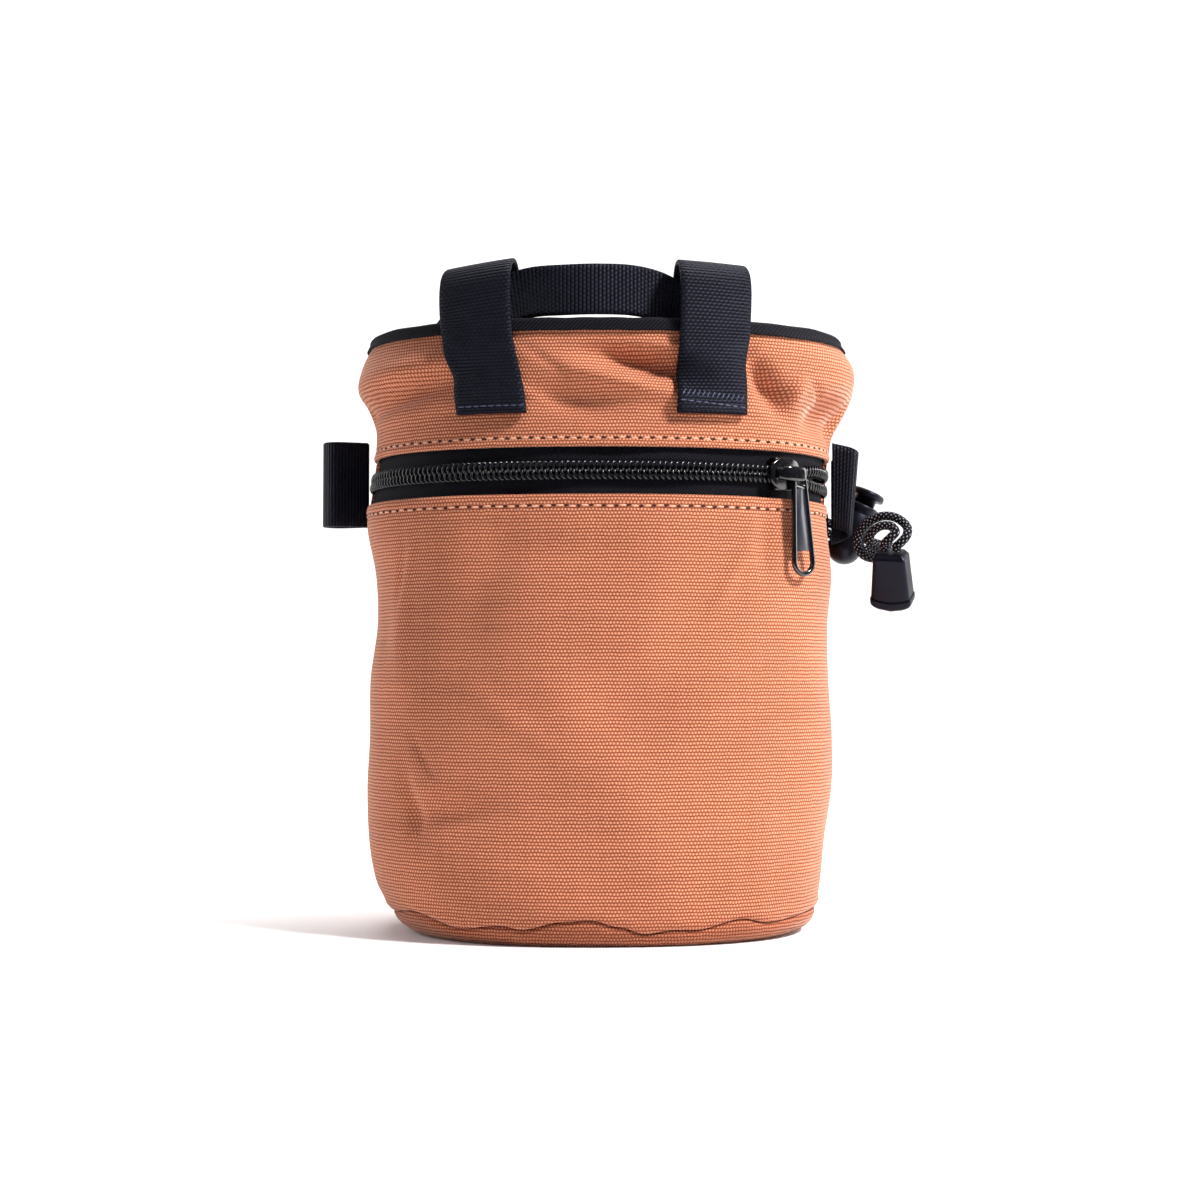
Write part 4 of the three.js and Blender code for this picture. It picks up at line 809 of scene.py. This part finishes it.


# Topstitching: clay polyester thread in a lockstitch of 3.4 mm, one row along each canvas edge of the zip.
# Each stitch lies between two needle holes, drawn as dark ovals of painted shade.
def twisted_thread(name, colour, roughness, **rest):
    """Sewing thread with the slanted ridges of its plies."""
    thread, shader = finish_for(name, colour, roughness, **rest)
    place_in = add(thread, "TexCoord")
    plies = {"Vector": place_in.outputs["Object"], "Scale": 1100}
    twist = add(thread, "TexWave", plies, bands_direction="DIAGONAL")
    bump = add(thread, "Bump", {"Height": twist.outputs[1], "Strength": 0.4, "Distance": 0.08 * mm})
    feed(shader, Normal=bump)
    return thread


clay_thread = twisted_thread("clay_polyester_thread", "#e0a283", 0.6, Sheen_Weight=0.2)
# painted shade for the needle holes: dark brown flat ovals laid just off the cloth
hole_shade_material, shader = finish_for("needle_hole_shadow", "#3c170c", 0.95)
grain = add(hole_shade_material, "TexNoise", {"Scale": 3000})
bump = add(hole_shade_material, "Bump", {"Height": grain.outputs[0], "Strength": 0.3, "Distance": 0.05 * mm})
feed(shader, Normal=bump)


def stood_on(start, end, out):
    """A frame with X from start to end and Z outwards, at their middle."""
    along = (end - start).normalized()
    up = (out - along * out.dot(along)).normalized()
    turned = Matrix((along, up.cross(along), up)).transposed().to_4x4()
    turned.translation = (start + end) / 2
    return turned


def stitches(spots, width, sunk):
    """Thread drops from needle hole to needle hole, one for each start, end and outward direction."""
    shape = bmesh.new()
    for start, end, out in spots:
        size = Matrix.Diagonal(((end - start).length / 2, width / 2, width / 2, 1))
        place = stood_on(start, end, out) @ Matrix.Translation((0, 0, -sunk)) @ size
        bmesh.ops.create_uvsphere(shape, u_segments=8, v_segments=5, radius=1, matrix=place)
    return shape


def hole_shade_ovals(spots, length, width, lift):
    """Flat dark ovals of painted shade in place of the needle holes, just off the cloth."""
    shape = bmesh.new()
    size = Matrix.Diagonal((length, width, 1, 1))
    for start, end, out in spots:
        place = stood_on(start, end, out) @ Matrix.Translation((0, 0, lift)) @ size
        bmesh.ops.create_circle(shape, cap_ends=True, segments=8, radius=0.5, matrix=place)
    return shape


def out_at(angle, height):
    """The outward direction of the wall."""
    _, _, x, y = outline_at(angle, height)
    return Vector((x, y, 0))


def angle_at(across):
    """The angle that lies that far round the cloth."""
    low, high = -180, 540
    for _ in range(26):
        middle = (low + high) / 2
        low, high = (middle, high) if across_at(middle) < across else (low, middle)
    return low


stitch_pitch = 3.4
for name, height, edge in (("collar", collar_stitches, collar_foot), ("pocket", pocket_stitches, pocket_top)):
    threads, holes = [], []
    start, end = across_at(front_angles[2]), across_at(front_angles[-3])
    for k in range(int((end - start) / stitch_pitch)):
        wobble = 0.12 * mm * math.sin(k * 2.3)
        spots = []
        for share in (0.14, 0.8, 0.97):
            angle = angle_at(start + (k + share) * stitch_pitch)
            spots.append(wall(angle, height + wobble, 0.12 * mm, True))
        out = out_at(angle, height)
        threads.append((spots[0], spots[1], out))
        holes.append((spots[1], spots[1] + (spots[2] - spots[1]) * 2, out))
    piece_from(stitches(threads, 0.6 * mm, 0.02 * mm), name + "_topstitching", clay_thread)
    shape = hole_shade_ovals(holes, 1.35 * mm, 0.75 * mm, 0.14 * mm)
    piece_from(shape, name + "_needle_hole_shade", hole_shade_material)


# Belt loops: 19 mm ribbed nylon webbing, sewn outside below the rim, over the binding and down inside. The
# left one hangs a little askew. The right one ends in a turned-under fold with a bar tack and a thread line.
webbing_thickness = 1.5 * mm
belt_webbing = 19 * mm
loop_top = 186.6 * mm
loop_foot = 145 * mm
loop_back_foot = 159 * mm


# Nylon webbing: a plain weave packed so tight that its weft stands in ribs across the band. Each rib is
# beaded by the warp, set off by half from rib to rib. It is near black; the bluish gleam on the crowns is
# painted highlight.
def ribbed_nylon(name, pitch, bead, crown):
    nylon, shader = finish_for(name, "#090a10", 0.5, Specular_IOR_Level=0.14, Specular_Tint=linear("#dfe1ff"))
    chart = add(nylon, "UVMap", uv_map="cloth")
    turns = add(nylon, "Mapping", {"Vector": chart.outputs[0], "Scale": (math.pi / bead, math.pi / pitch, 1)})
    split = add(nylon, "SeparateXYZ", {"Vector": turns.outputs[0]})
    warp = add(nylon, "Math", {0: split.outputs[0]}, operation="SINE")
    weft = add(nylon, "Math", {0: split.outputs[1]}, operation="SINE")
    beads = add(nylon, "Math", {0: warp.outputs[0], 1: weft.outputs[0]}, operation="MULTIPLY")
    ribs = add(nylon, "Math", {0: weft.outputs[0]}, operation="ABSOLUTE")
    relief = add(nylon, "Math", {0: beads.outputs[0], 1: 0.22, 2: ribs.outputs[0]}, operation="MULTIPLY_ADD")
    level = add(nylon, "MapRange", {0: relief.outputs[0], 1: 0, 2: 1.2})
    worn = add(nylon, "TexNoise", {"Vector": chart.outputs[0], "Scale": 0.3, "Detail": 2})
    wear = add(nylon, "MapRange", {0: worn.outputs[0], 1: 0.3, 2: 0.7, 3: 0.75, 4: 1.25})
    colours = add(nylon, "ValToRGB", {"Fac": level.outputs[0]})
    colours.color_ramp.elements[0].color = linear("#020204")
    # the crown colour is a painted bluish highlight
    colours.color_ramp.elements[1].color = linear(crown)
    colours.color_ramp.elements.new(0.55).color = linear("#0b0c13")
    shade = add(nylon, "VectorMath", {0: colours.outputs[0], 3: wear.outputs[0]}, operation="SCALE")
    feed(shader, Base_Color=shade)
    bump = add(nylon, "Bump", {"Height": level.outputs[0], "Strength": 0.9, "Distance": 0.3 * mm})
    feed(shader, Normal=bump)
    return nylon


belt_nylon = ribbed_nylon("ribbed_nylon_webbing", 0.95, 0.62, "#1a1b25")

# the section of a band, across in shares of half its width and out in shares of half its thickness
band_section = [(-0.97 + 1.94 * k / 12, 1) for k in range(13)] + [(0.995, 0.6), (0.995, -0.6)]
band_section += [(0.97 - 1.94 * k / 12, -1) for k in range(13)] + [(-0.995, -0.6), (-0.995, 0.6), (-0.97, 1)]


def band(steps, width, point_at):
    """Webbing along a route, closed at its ends. point_at(j, across, out) puts each corner."""
    across = [0]
    for (a, b), (c, d) in zip(band_section, band_section[1:]):
        across.append(across[-1] + math.hypot((c - a) * width / 2, (d - b) * 0.75 * mm) / mm)
    middles = [point_at(j, 0, 1) for j in range(steps)]
    along = [0]
    for before, after in zip(middles, middles[1:]):
        along.append(along[-1] + (after - before).length / mm)

    def place(i, j):
        return point_at(j, *band_section[i])

    shape = closed(grid(len(band_section) - 1, steps - 1, place, lambda i, j: (across[i], along[j])))
    bmesh.ops.recalc_face_normals(shape, faces=shape.faces)
    return shape


def front_point(x, height, inward):
    """A point in front at a given x. Above the rim the wall is taken to go straight up."""
    level = min(height, canvas_top)
    low, high = -90, 90
    for _ in range(22):
        middle = (low + high) / 2
        low, high = (middle, high) if outline_at(middle, level)[0] < x else (low, middle)
    point = wall(middle, level, inward)
    point.z = height
    return point


def belt_loop(x, foot_shift, slant):
    """Webbing over the rim at x, its foot moved aside by foot_shift and its fold tilted by slant."""
    half = webbing_thickness / 2
    sewn = -seat_gap * 2.5 - half
    clear = sewn - binding - seat_gap
    binding_inner = canvas + lining + seat_gap * 2 + binding
    behind = binding_inner + seat_gap * 7 + webbing_thickness + half
    rim_height = canvas_top + binding_top
    rows = [
        (foot_shift, loop_foot, sewn), (foot_shift * 0.72, loop_foot + 8 * mm, sewn),
        (foot_shift * 0.38, loop_foot + 15 * mm, sewn),
        (foot_shift * 0.12, canvas_top - binding_leg * 2, between(sewn, clear, 0.6)), (0, rim_height, clear),
        (0, loop_top - 6 * mm, clear - 0.4 * mm), (0, loop_top - 2 * mm, clear + 0.9 * mm),
        (0, loop_top, clear + 3.8 * mm), (0, loop_top, behind - 3.2 * mm),
        (0, loop_top - 2.2 * mm, behind - 0.6 * mm), (0, loop_top - 6 * mm, behind), (0, rim_height, behind),
        (0, loop_back_foot, behind),
    ]
    route = smooth_route([[value / mm for value in row] for row in rows], 6)

    def place(j, across, out):
        before, after = route[max(j - 1, 0)], route[min(j + 1, len(route) - 1)]
        step = math.hypot(after.y - before.y, after.z - before.z)
        shift, height, inward = route[j]
        lean = slant * ease(height, rim_height - 3 * mm, rim_height + 3 * mm) * across
        height += out * half * (after.z - before.z) / step
        inward -= out * half * (after.y - before.y) / step
        return front_point(x + shift + across * belt_webbing / 2, height + lean, inward)

    return band(len(route), belt_webbing, place)


for side, x, foot_shift, slant in (("left", -33.4, 4.2, 1), ("right", 31, -0.8, -0.4)):
    shape = belt_loop(x * mm, foot_shift * mm, slant * mm)
    loop = piece_from(shape, side + "_belt_webbing", belt_nylon)
    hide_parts("belt_loop_" + side)

# bonded nylon thread, a little glossier than the webbing, its paler blue colour a painted highlight
bonded = twisted_thread("bonded_nylon_thread", "#3b3f58", 0.35)
outside = -seat_gap * 2.5 - webbing_thickness
for side, middle, height, tilt in (("left", -29.2, 147, 0), ("right", 30.2, 147.6, -0.8)):
    threads = []
    for k in range(9):
        ends = []
        for share in (k / 9 + 0.004, (k + 1) / 9 - 0.004):
            across = (share * 2 - 1) * (belt_webbing / 2 - 0.5 * mm)
            ends.append(front_point(middle * mm + across, height * mm + tilt * mm * (share * 2 - 1), outside))
        threads.append((*ends, out_at(math.degrees(math.atan2(ends[0].x, -ends[0].y)), height * mm)))
    if side == "right":
        # the bar tack above the fold: slanted stitches, packed close
        for k in range(13):
            across = (k / 6 - 1) * (belt_webbing / 2 - 1.6 * mm)
            low = front_point(middle * mm + across - 0.5 * mm, 148.9 * mm - across * 0.09, outside)
            high = front_point(middle * mm + across + 0.7 * mm, 150.9 * mm - across * 0.09, outside)
            threads.append((low, high, out_at(math.degrees(math.atan2(low.x, -low.y)), height * mm)))
    piece_from(stitches(threads, 0.42 * mm, 0.02 * mm), side + "_belt_thread", bonded)


# Carry strap: 14 mm webbing on edge behind the belt loops, arched over the rim and sewn inside it at both
# ends. Its ribs stand upright, 1.1 mm apart.
# sizes in mm
strap_top = 186.3
strap_width = 14
strap_span = 52
# across in shares of the span, drop of the top edge and lean of the lower one in shares of the width, and
# inward distance from 0 over the rim to 1 inside it
strap_rows = [
    (-1.07, 1.96, 0.7, 1.2), (-1.02, 1.46, 0.7, 1.1), (-0.94, 1.02, 0.66, 1), (-0.83, 0.66, 0.52, 1),
    (-0.68, 0.32, 0.34, 1), (-0.52, 0.11, 0.16, 1), (-0.38, 0.01, 0.04, 0.75), (-0.18, 0, 0, 0.25),
    (0, 0, 0, 0), (0.18, 0.01, 0, 0.35), (0.34, 0.1, 0.05, 1), (0.48, 0.34, 0.2, 1),
    (0.62, 0.6, 0.38, 1), (0.78, 0.96, 0.55, 1), (0.88, 1.32, 0.64, 1.1), (0.97, 1.86, 0.7, 1.2),
]
strap_nylon = ribbed_nylon("upright_ribbed_webbing", 1.1, 0.62, "#1a1b25")
inside_rim = (canvas + lining + binding + seat_gap * 5) / mm + 0.75
upper, lower = [], []
for across, drop, lean, inward in strap_rows:
    deep = between(canvas / mm, inside_rim, inward)
    top = (across * strap_span, strap_top - drop * strap_width, deep)
    upper.append(top)
    low_x = top[0] - math.copysign(lean * strap_width, top[0]) * (across != 0)
    lower.append((low_x, top[1] - strap_width * math.sqrt(1 - lean * lean), deep))
upper, lower = smooth_route(upper, 6), smooth_route(lower, 6)


def strap_place(j, across, out):
    x, height, inward = lower[j].lerp(upper[j], (across + 1) / 2)
    return front_point(x, height, inward - out * webbing_thickness / 2)


shape = band(len(upper), strap_width * mm, strap_place)
strap = piece_from(shape, "carry_webbing", strap_nylon)
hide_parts("carry_strap")


# Side loops: 25 mm webbing folded double and caught in each side seam, the left one open, the right one
# pressed nearly flat and pulled in at its lower edge.
side_webbing = 25 * mm
side_thickness = 1.4 * mm
side_top = 142 * mm
# the side loops' webbing has darker crowns than the belt loops' as painted shade, for the shadow at the bag's
# sides
shaded_side_nylon = ribbed_nylon("shaded_side_loop_webbing", 0.95, 0.62, "#0c0d14")


def side_loop(side, reach, spread, skew, taper):
    """A loop out of the left (-1) or right (1) side seam. reach, half spread and skew are in mm, taper is
    the share by which its lower edge reaches out less."""
    half = side_thickness / 2
    root = (half + seat_gap / 2) / mm
    swell = between(root, spread, 0.6)
    rows = [
        (0, -root, 0), (0.35, -swell, 0), (0.68, -spread, 0), (0.88, -spread * 0.8, 0), (1, 0, 0),
        (0.88, spread * 0.8, 0), (0.68, spread, 0), (0.35, swell, 0), (0, root, 0),
    ]
    widest = 0
    for share in (0, 0.3, 0.6, 0.8, 1):
        widest = max(widest, abs(wall(side * 90, side_top - share * side_webbing, 0).x))
    run = reach - half / mm
    route = smooth_route([(x * run, y, z) for x, y, z in rows], 6)

    def place(j, across, out):
        before, after = route[max(j - 1, 0)], route[min(j + 1, len(route) - 1)]
        step = (after - before).normalized()
        drop = skew * mm * j / (len(route) - 1)
        x = widest + seat_gap + route[j].x * (1 - taper * (1 - across) / 2) + out * step.y * half
        height = side_top - drop - (1 - across) / 2 * side_webbing
        return Vector((side * x, route[j].y - out * step.x * half, height))

    return band(len(route), side_webbing, place)


for name, shape in (("left", side_loop(-1, 13.2, 3.6, 0, 0)), ("right", side_loop(1, 8, 1.6, 5, 0.3))):
    loop = piece_from(shape, name + "_side_webbing", shaded_side_nylon)
    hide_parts("side_loop_" + name)


# Zip slider: die-cast zinc, stove-enamelled gloss black. A rounded plate rides on the coils with a flange
# along each edge, and an arched bridge reaches forward over the pull's post.
enamel, shader = finish_for("black_stove_enamel", "#08080c", 0.16, Coat_Weight=0.5, Coat_Roughness=0.06)
place_in = add(enamel, "TexCoord")
peel = add(enamel, "TexNoise", {"Vector": place_in.outputs["Object"], "Scale": 700, "Detail": 2})
level = add(enamel, "MapRange", {0: peel.outputs[0], 1: 0.3, 2: 0.7, 3: 0.1, 4: 0.24})
feed(shader, Roughness=level)
bump = add(enamel, "Bump", {"Height": peel.outputs[0], "Strength": 0.25, "Distance": 0.05 * mm})
feed(shader, Normal=bump)
# distances from the wall and along it, in mm
plate_out = 2.1
bridge_out = 4.8
post_ahead = 4
post_drop = 0.8


def loft(rings, loop=False):
    """A closed skin through rings of as many points each: capped at both ends, or run round to the first."""
    count = len(rings[0])
    if loop:
        rings = rings + rings[:1]
    shape = grid(count, len(rings) - 1, lambda i, j: rings[j][i % count] * mm, lambda i, j: (i, j))
    closed(shape, capped=not loop)
    bmesh.ops.recalc_face_normals(shape, faces=shape.faces)
    return shape


def cushion(middle, across, up, reach, rise, count=20, power=3.5):
    """A ring of points with round corners, about a middle, reach along across and rise along up."""
    ring = []
    for k in range(count):
        c, s = math.cos(math.tau * k / count), math.sin(math.tau * k / count)
        x = math.copysign(abs(c) ** (2 / power), c) * reach
        y = math.copysign(abs(s) ** (2 / power), s) * rise
        ring.append(middle + across * x + up * y)
    return ring


def merged(shapes):
    """One shape from several."""
    whole = bmesh.new()
    for shape in shapes:
        part = bpy.data.meshes.new("part")
        shape.to_mesh(part)
        shape.free()
        whole.from_mesh(part)
        bpy.data.meshes.remove(part)
    return whole


def slab(outline, low, high, edge):
    """A plate with rounded rims: outline in x and z, from one distance outwards (-Y) to another."""
    middle = Vector((sum(x for x, _ in outline) / len(outline), 0, sum(z for _, z in outline) / len(outline)))
    rings = []
    for out, inset in (
        (low, edge), (low + edge * 0.3, edge * 0.3), (low + edge, 0),
        (high - edge, 0), (high - edge * 0.3, edge * 0.3), (high, edge),
    ):
        ring = []
        for x, z in outline:
            point = Vector((x, 0, z))
            point -= (point - middle).normalized() * inset
            ring.append(Vector((point.x, -out, point.z)))
        rings.append(ring)
    return loft(rings)


east, outward, north = Vector((1, 0, 0)), Vector((0, -1, 0)), Vector((0, 0, 1))
out_x, out_y = outline_at(slider_angle, zip_height)[2:]
slider_turn = Matrix.Rotation(math.atan2(out_x, -out_y), 4, "Z")
slider_frame = Matrix.Translation(wall(slider_angle, zip_height, 0)) @ slider_turn
body_outline = []
for k in range(48):
    c, s = math.cos(math.tau * k / 48), math.sin(math.tau * k / 48)
    x = math.copysign(abs(c) ** 0.55, c) * slider_length / 2 / mm
    body_outline.append((x, math.copysign(abs(s) ** 0.55, s) * (4.5 - 0.45 * max(-x - 2, 0) ** 0.8)))
parts = [slab(body_outline, 1.1, plate_out, 0.35)]
for side in (1, -1):
    flange = [(-3.25, 3.7), (3.25, 3.7), (3.25, 4.5), (-3.25, 4.5)]
    parts.append(slab([(x, side * z) for x, z in flange[::side]], -1.25, 1.6, 0.15))
# along the slider, out from the wall, half width and half thickness of the bridge
arch = [
    (-2.6, 1.9, 1.5, 0.9), (-2.7, 2.9, 1.55, 0.8), (-2.5, 3.9, 1.7, 0.7), (-1.7, bridge_out - 0.25, 1.9, 0.6),
    (-0.4, bridge_out + 0.05, 2, 0.52), (1.4, bridge_out + 0.1, 2, 0.5), (3.2, bridge_out, 2, 0.5),
    (4.4, bridge_out, 1.9, 0.48), (5, bridge_out - 0.05, 1.5, 0.4), (5.2, bridge_out - 0.1, 0.9, 0.2),
]
rings = []
for k, (x, out, half, thick) in enumerate(arch):
    before, after = arch[max(k - 1, 0)], arch[min(k + 1, len(arch) - 1)]
    ahead = Vector((after[0] - before[0], -(after[1] - before[1]), 0)).normalized()
    rings.append(cushion(Vector((x, -out, 0)), north, ahead.cross(north), half, thick))
parts.append(loft(rings))
post_radius = 1.05
post_rings = []
for out in (plate_out - 0.2, bridge_out):
    place = Vector((post_ahead, -out, -post_drop))
    post_rings.append(cushion(place, east, north, post_radius, post_radius, 20, 2))
parts.append(loft(post_rings))
slider = piece_from(merged(parts), "enamelled_slider", enamel, at=slider_frame)
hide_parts("zip_slider")


# Zip pull: a die-cast tag that hangs from the slider's post. A raised round border runs down from the eye and
# round an open slot at the foot, and the panel between its sides is sunk.
panel_enamel, shader = finish_for("satin_sunk_enamel", "#1d1d29", 0.3, Coat_Weight=0.3, Coat_Roughness=0.2)
place_in = add(panel_enamel, "TexCoord")
grain = add(panel_enamel, "TexNoise", {"Vector": place_in.outputs["Object"], "Scale": 1600, "Detail": 2})
bump = add(panel_enamel, "Bump", {"Height": grain.outputs[0], "Strength": 0.35, "Distance": 0.04 * mm})
feed(shader, Normal=bump)
# sizes in mm, the pull's origin on its post
pull_length = 30
pull_top = 2.5
pull_end = 4.1
pull_thickness = 1.4
pull_out = plate_out + 0.35
end_centre = -(pull_length - pull_top - pull_end)
slot_top = end_centre - (pull_end - 1.3) + 5.8
pull_middle = pull_out + pull_thickness / 2
# radius of the border's middle line round the eye and round the tail, and half its width there
eye = 1.95
eye_half = 0.58
tail = 3.45
tail_half = 0.74
# x, z and half width along the border
track = []
for k in range(17):
    turn = math.pi * k / 16
    track.append((eye * math.cos(turn), eye * math.sin(turn), eye_half))
for k in range(1, 16):
    share = k / 16
    track.append((between(-eye, -tail, share), end_centre * share, between(eye_half, tail_half, share)))
for k in range(21):
    turn = math.pi * (1 + k / 20)
    track.append((tail * math.cos(turn), end_centre + tail * math.sin(turn), tail_half))
for k in range(1, 16):
    share = k / 16
    track.append((between(tail, eye, share), end_centre * (1 - share), between(tail_half, eye_half, share)))
rings = []
for k, (x, z, half) in enumerate(track):
    before, after = track[k - 1], track[(k + 1) % len(track)]
    ahead = Vector((after[0] - before[0], 0, after[1] - before[1])).normalized()
    middle = Vector((x, -pull_middle, z))
    rings.append(cushion(middle, ahead.cross(outward), outward, half, pull_thickness / 2, 16, 2.6))
neck = [(1.5 * math.cos(math.radians(a)), 1.5 * math.sin(math.radians(a))) for a in range(200, 345, 10)]
neck += [(2, -3.3), (-2, -3.3)]
sunk_outline = [(-3, slot_top), (3, slot_top), (1.7, -3.2), (-1.7, -3.2)]
pull_frame = (
    slider_frame @ Matrix.Translation((post_ahead * mm, 0, -post_drop * mm))
    @ Matrix.Rotation(math.radians(-4), 4, "Y")
)
shape = merged([loft(rings, loop=True), slab(neck, pull_out + 0.1, pull_out + 1.15, 0.1)])
border = piece_from(shape, "enamelled_pull_border", enamel, body="pull", at=pull_frame)
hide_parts("zip_pull")
shape = slab(sunk_outline, pull_out + 0.1, pull_out + 1, 0.1)
piece_from(shape, "sunk_pull_panel", panel_enamel, body="pull", at=pull_frame)


# Eyelet, spring lock and cord end: injection-moulded acetal with a fine spark-eroded skin, so it is black
# with a soft bluish gleam. The eyelet is pressed through the canvas where the cord leaves.
moulded, shader = finish_for(
    "spark_textured_acetal", "#060609", 0.36, Specular_IOR_Level=0.25, Specular_Tint=linear("#d5d8ff"),
)
place_in = add(moulded, "TexCoord")
skin = add(moulded, "TexNoise", {"Vector": place_in.outputs["Object"], "Scale": 2600, "Detail": 2})
scuff = add(moulded, "TexNoise", {"Vector": place_in.outputs["Object"], "Scale": 160, "Detail": 3})
level = add(moulded, "MapRange", {0: scuff.outputs[0], 1: 0.3, 2: 0.7, 3: 0.3, 4: 0.46})
feed(shader, Roughness=level)
bump = add(moulded, "Bump", {"Height": skin.outputs[0], "Strength": 0.35, "Distance": 0.06 * mm})
feed(shader, Normal=bump)


def lathed(profile, steps=48):
    """A profile of radius and height in mm, turned once round Z."""
    rings = []
    for k in range(steps):
        turn = math.tau * k / steps
        rings.append([Vector((r * math.cos(turn), r * math.sin(turn), h)) for r, h in profile])
    rings.append(rings[0])
    shape = grid(len(profile) - 1, steps, lambda i, j: rings[j][i] * mm, lambda i, j: (i, j))
    closed(shape, capped=False)
    bmesh.ops.recalc_face_normals(shape, faces=shape.faces)
    return shape


eyelet_profile = [
    (3.8, -1.6), (4.05, -1.9), (4.3, -1.6), (4.3, 0.75), (4.95, 0.75), (5.2, 0.95), (5.2, 1.2), (5, 1.45),
    (4.7, 1.55), (4.15, 1.55), (3.9, 1.4), (3.8, 1.1), (3.8, -1.6),
]
eyelet_middle = Vector((65.67, 9, 118.53)) * mm
eyelet_frame = (
    Matrix.Translation(eyelet_middle) @ Matrix.Rotation(math.radians(9), 4, "Z")
    @ Matrix.Rotation(math.radians(90), 4, "Y")
)
eyelet = piece_from(lathed(eyelet_profile), "moulded_eyelet", moulded, at=eyelet_frame)
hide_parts("cord_eyelet")


# Spring lock: the barrel has a cross hole for both strands, moulded through it, and a round lower end. The
# sprung button stands in its top and has a wide cap for the thumb.
lock_foot = Vector((71, 9, 107.1)) * mm
lock_tilt = math.radians(24)
lock_frame = Matrix.Translation(lock_foot) @ Matrix.Rotation(lock_tilt, 4, "Y")
lock = 5.2
barrel_profile = []
for k in range(12):
    turn = math.pi * k / 24
    barrel_profile.append((lock * math.sin(turn), lock - lock * math.cos(turn)))
barrel_profile += [
    (lock, 5.4), (lock, 7), (lock, 8.6), (lock, 10.2), (lock, 11.8), (lock, 15.6), (5.05, 15.8),
    (5.05, 16.2), (lock, 16.4), (lock, 18.3), (5.05, 18.65), (4.7, 18.8), (3.9, 18.8), (3.7, 18.6),
    (3.7, 13.2), (0, 13.2),
]
shape = lathed(barrel_profile, 60)
mouths = []
for face in shape.faces:
    middle = face.calc_center_median() / mm
    beside = math.degrees(math.atan2(abs(middle.y), abs(middle.x)))
    if 5.4 < middle.z < 11.8 and math.hypot(middle.x, middle.y) > 4.5 and beside < 18:
        mouths.append(face)
bmesh.ops.delete(shape, geom=mouths, context="FACES")
lips = [edge for edge in shape.edges if len(edge.link_faces) == 1]
bmesh.ops.bridge_loops(shape, edges=lips)
bmesh.ops.bevel(shape, geom=lips, offset=0.3 * mm, segments=3, profile=0.5, affect="EDGES", material=-1)
bmesh.ops.recalc_face_normals(shape, faces=shape.faces)
barrel = piece_from(shape, "moulded_lock_barrel", moulded, at=lock_frame)
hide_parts("cord_lock_barrel")
button_profile = [
    (0, 15.75), (3.1, 15.75), (3.35, 16), (3.35, 21.35), (4.95, 21.35), (5.15, 21.5), (lock, 21.75),
    (lock, 22.5), (5.1, 22.9), (4.85, 23.2), (4.4, 23.35), (3.4, 23.35), (3.1, 23.2), (0, 23.2),
]
shape = lathed(button_profile)
button = piece_from(shape, "moulded_lock_button", moulded, body="button", at=lock_frame)
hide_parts("cord_lock_button")


# Cord end: a hollow moulding that tapers up to a chamfered top. Both strands are knotted inside it, and a
# snap-in lid with a bulging foot closes it, so that a fine dark line runs round under the body.
def end_ring(half, depth, height, sag):
    """A ring of the cord end with near square corners, its middle hanging down by sag."""
    ring = []
    for point in cushion(Vector((0, 0, height)), east, -outward, half, depth, 64, 9):
        point.z -= sag * (1 - (point.x / 6.1) ** 2)
        ring.append(point)
    return ring


end_top = Vector((84.3, -9.2, 109.3)) * mm
end_frame = Matrix.Translation(end_top)
for angle, axis in ((-6, "Y"), (26, "X"), (-22, "Z")):
    end_frame = end_frame @ Matrix.Rotation(math.radians(angle), 4, axis)
# half width, half depth, height and sag of the middle, from the top down
end_table = [
    (0.6, 0.4, 0, 0), (3.65, 2.55, 0, 0), (3.8, 2.7, -0.06, 0), (4.7, 3.6, -1.3, 0), (4.82, 3.7, -1.6, 0),
    (5.1, 3.7, -5, 0.3), (5.5, 3.7, -9.5, 1), (5.78, 3.7, -12.8, 1.5), (5.82, 3.64, -13.05, 1.5),
    (5.6, 3.4, -13.1, 1.5), (5.6, 3.4, -13.4, 1.5), (5.98, 3.72, -13.45, 1.5), (6.1, 3.85, -13.7, 1.5),
    (6.1, 3.85, -15, 1.7), (6, 3.75, -15.4, 1.75), (5.7, 3.45, -15.72, 1.8), (5.2, 3, -15.8, 1.8),
    (3, 1.6, -15.8, 1.8), (0.6, 0.4, -15.8, 1.8),
]
shape = loft([end_ring(*row) for row in end_table])
cord_end = piece_from(shape, "moulded_cord_end", moulded, at=end_frame)
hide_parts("cord_end")

# the strands run through the lock, and the cord end is on them
for (strand, route), carried in zip(strands, ([barrel, button], [cord_end])):
    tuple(route[0])
    route_length(route)


# the photograph's white is a full white, so the colours are shown without a film curve
bpy.context.scene.view_settings.view_transform = "Standard"
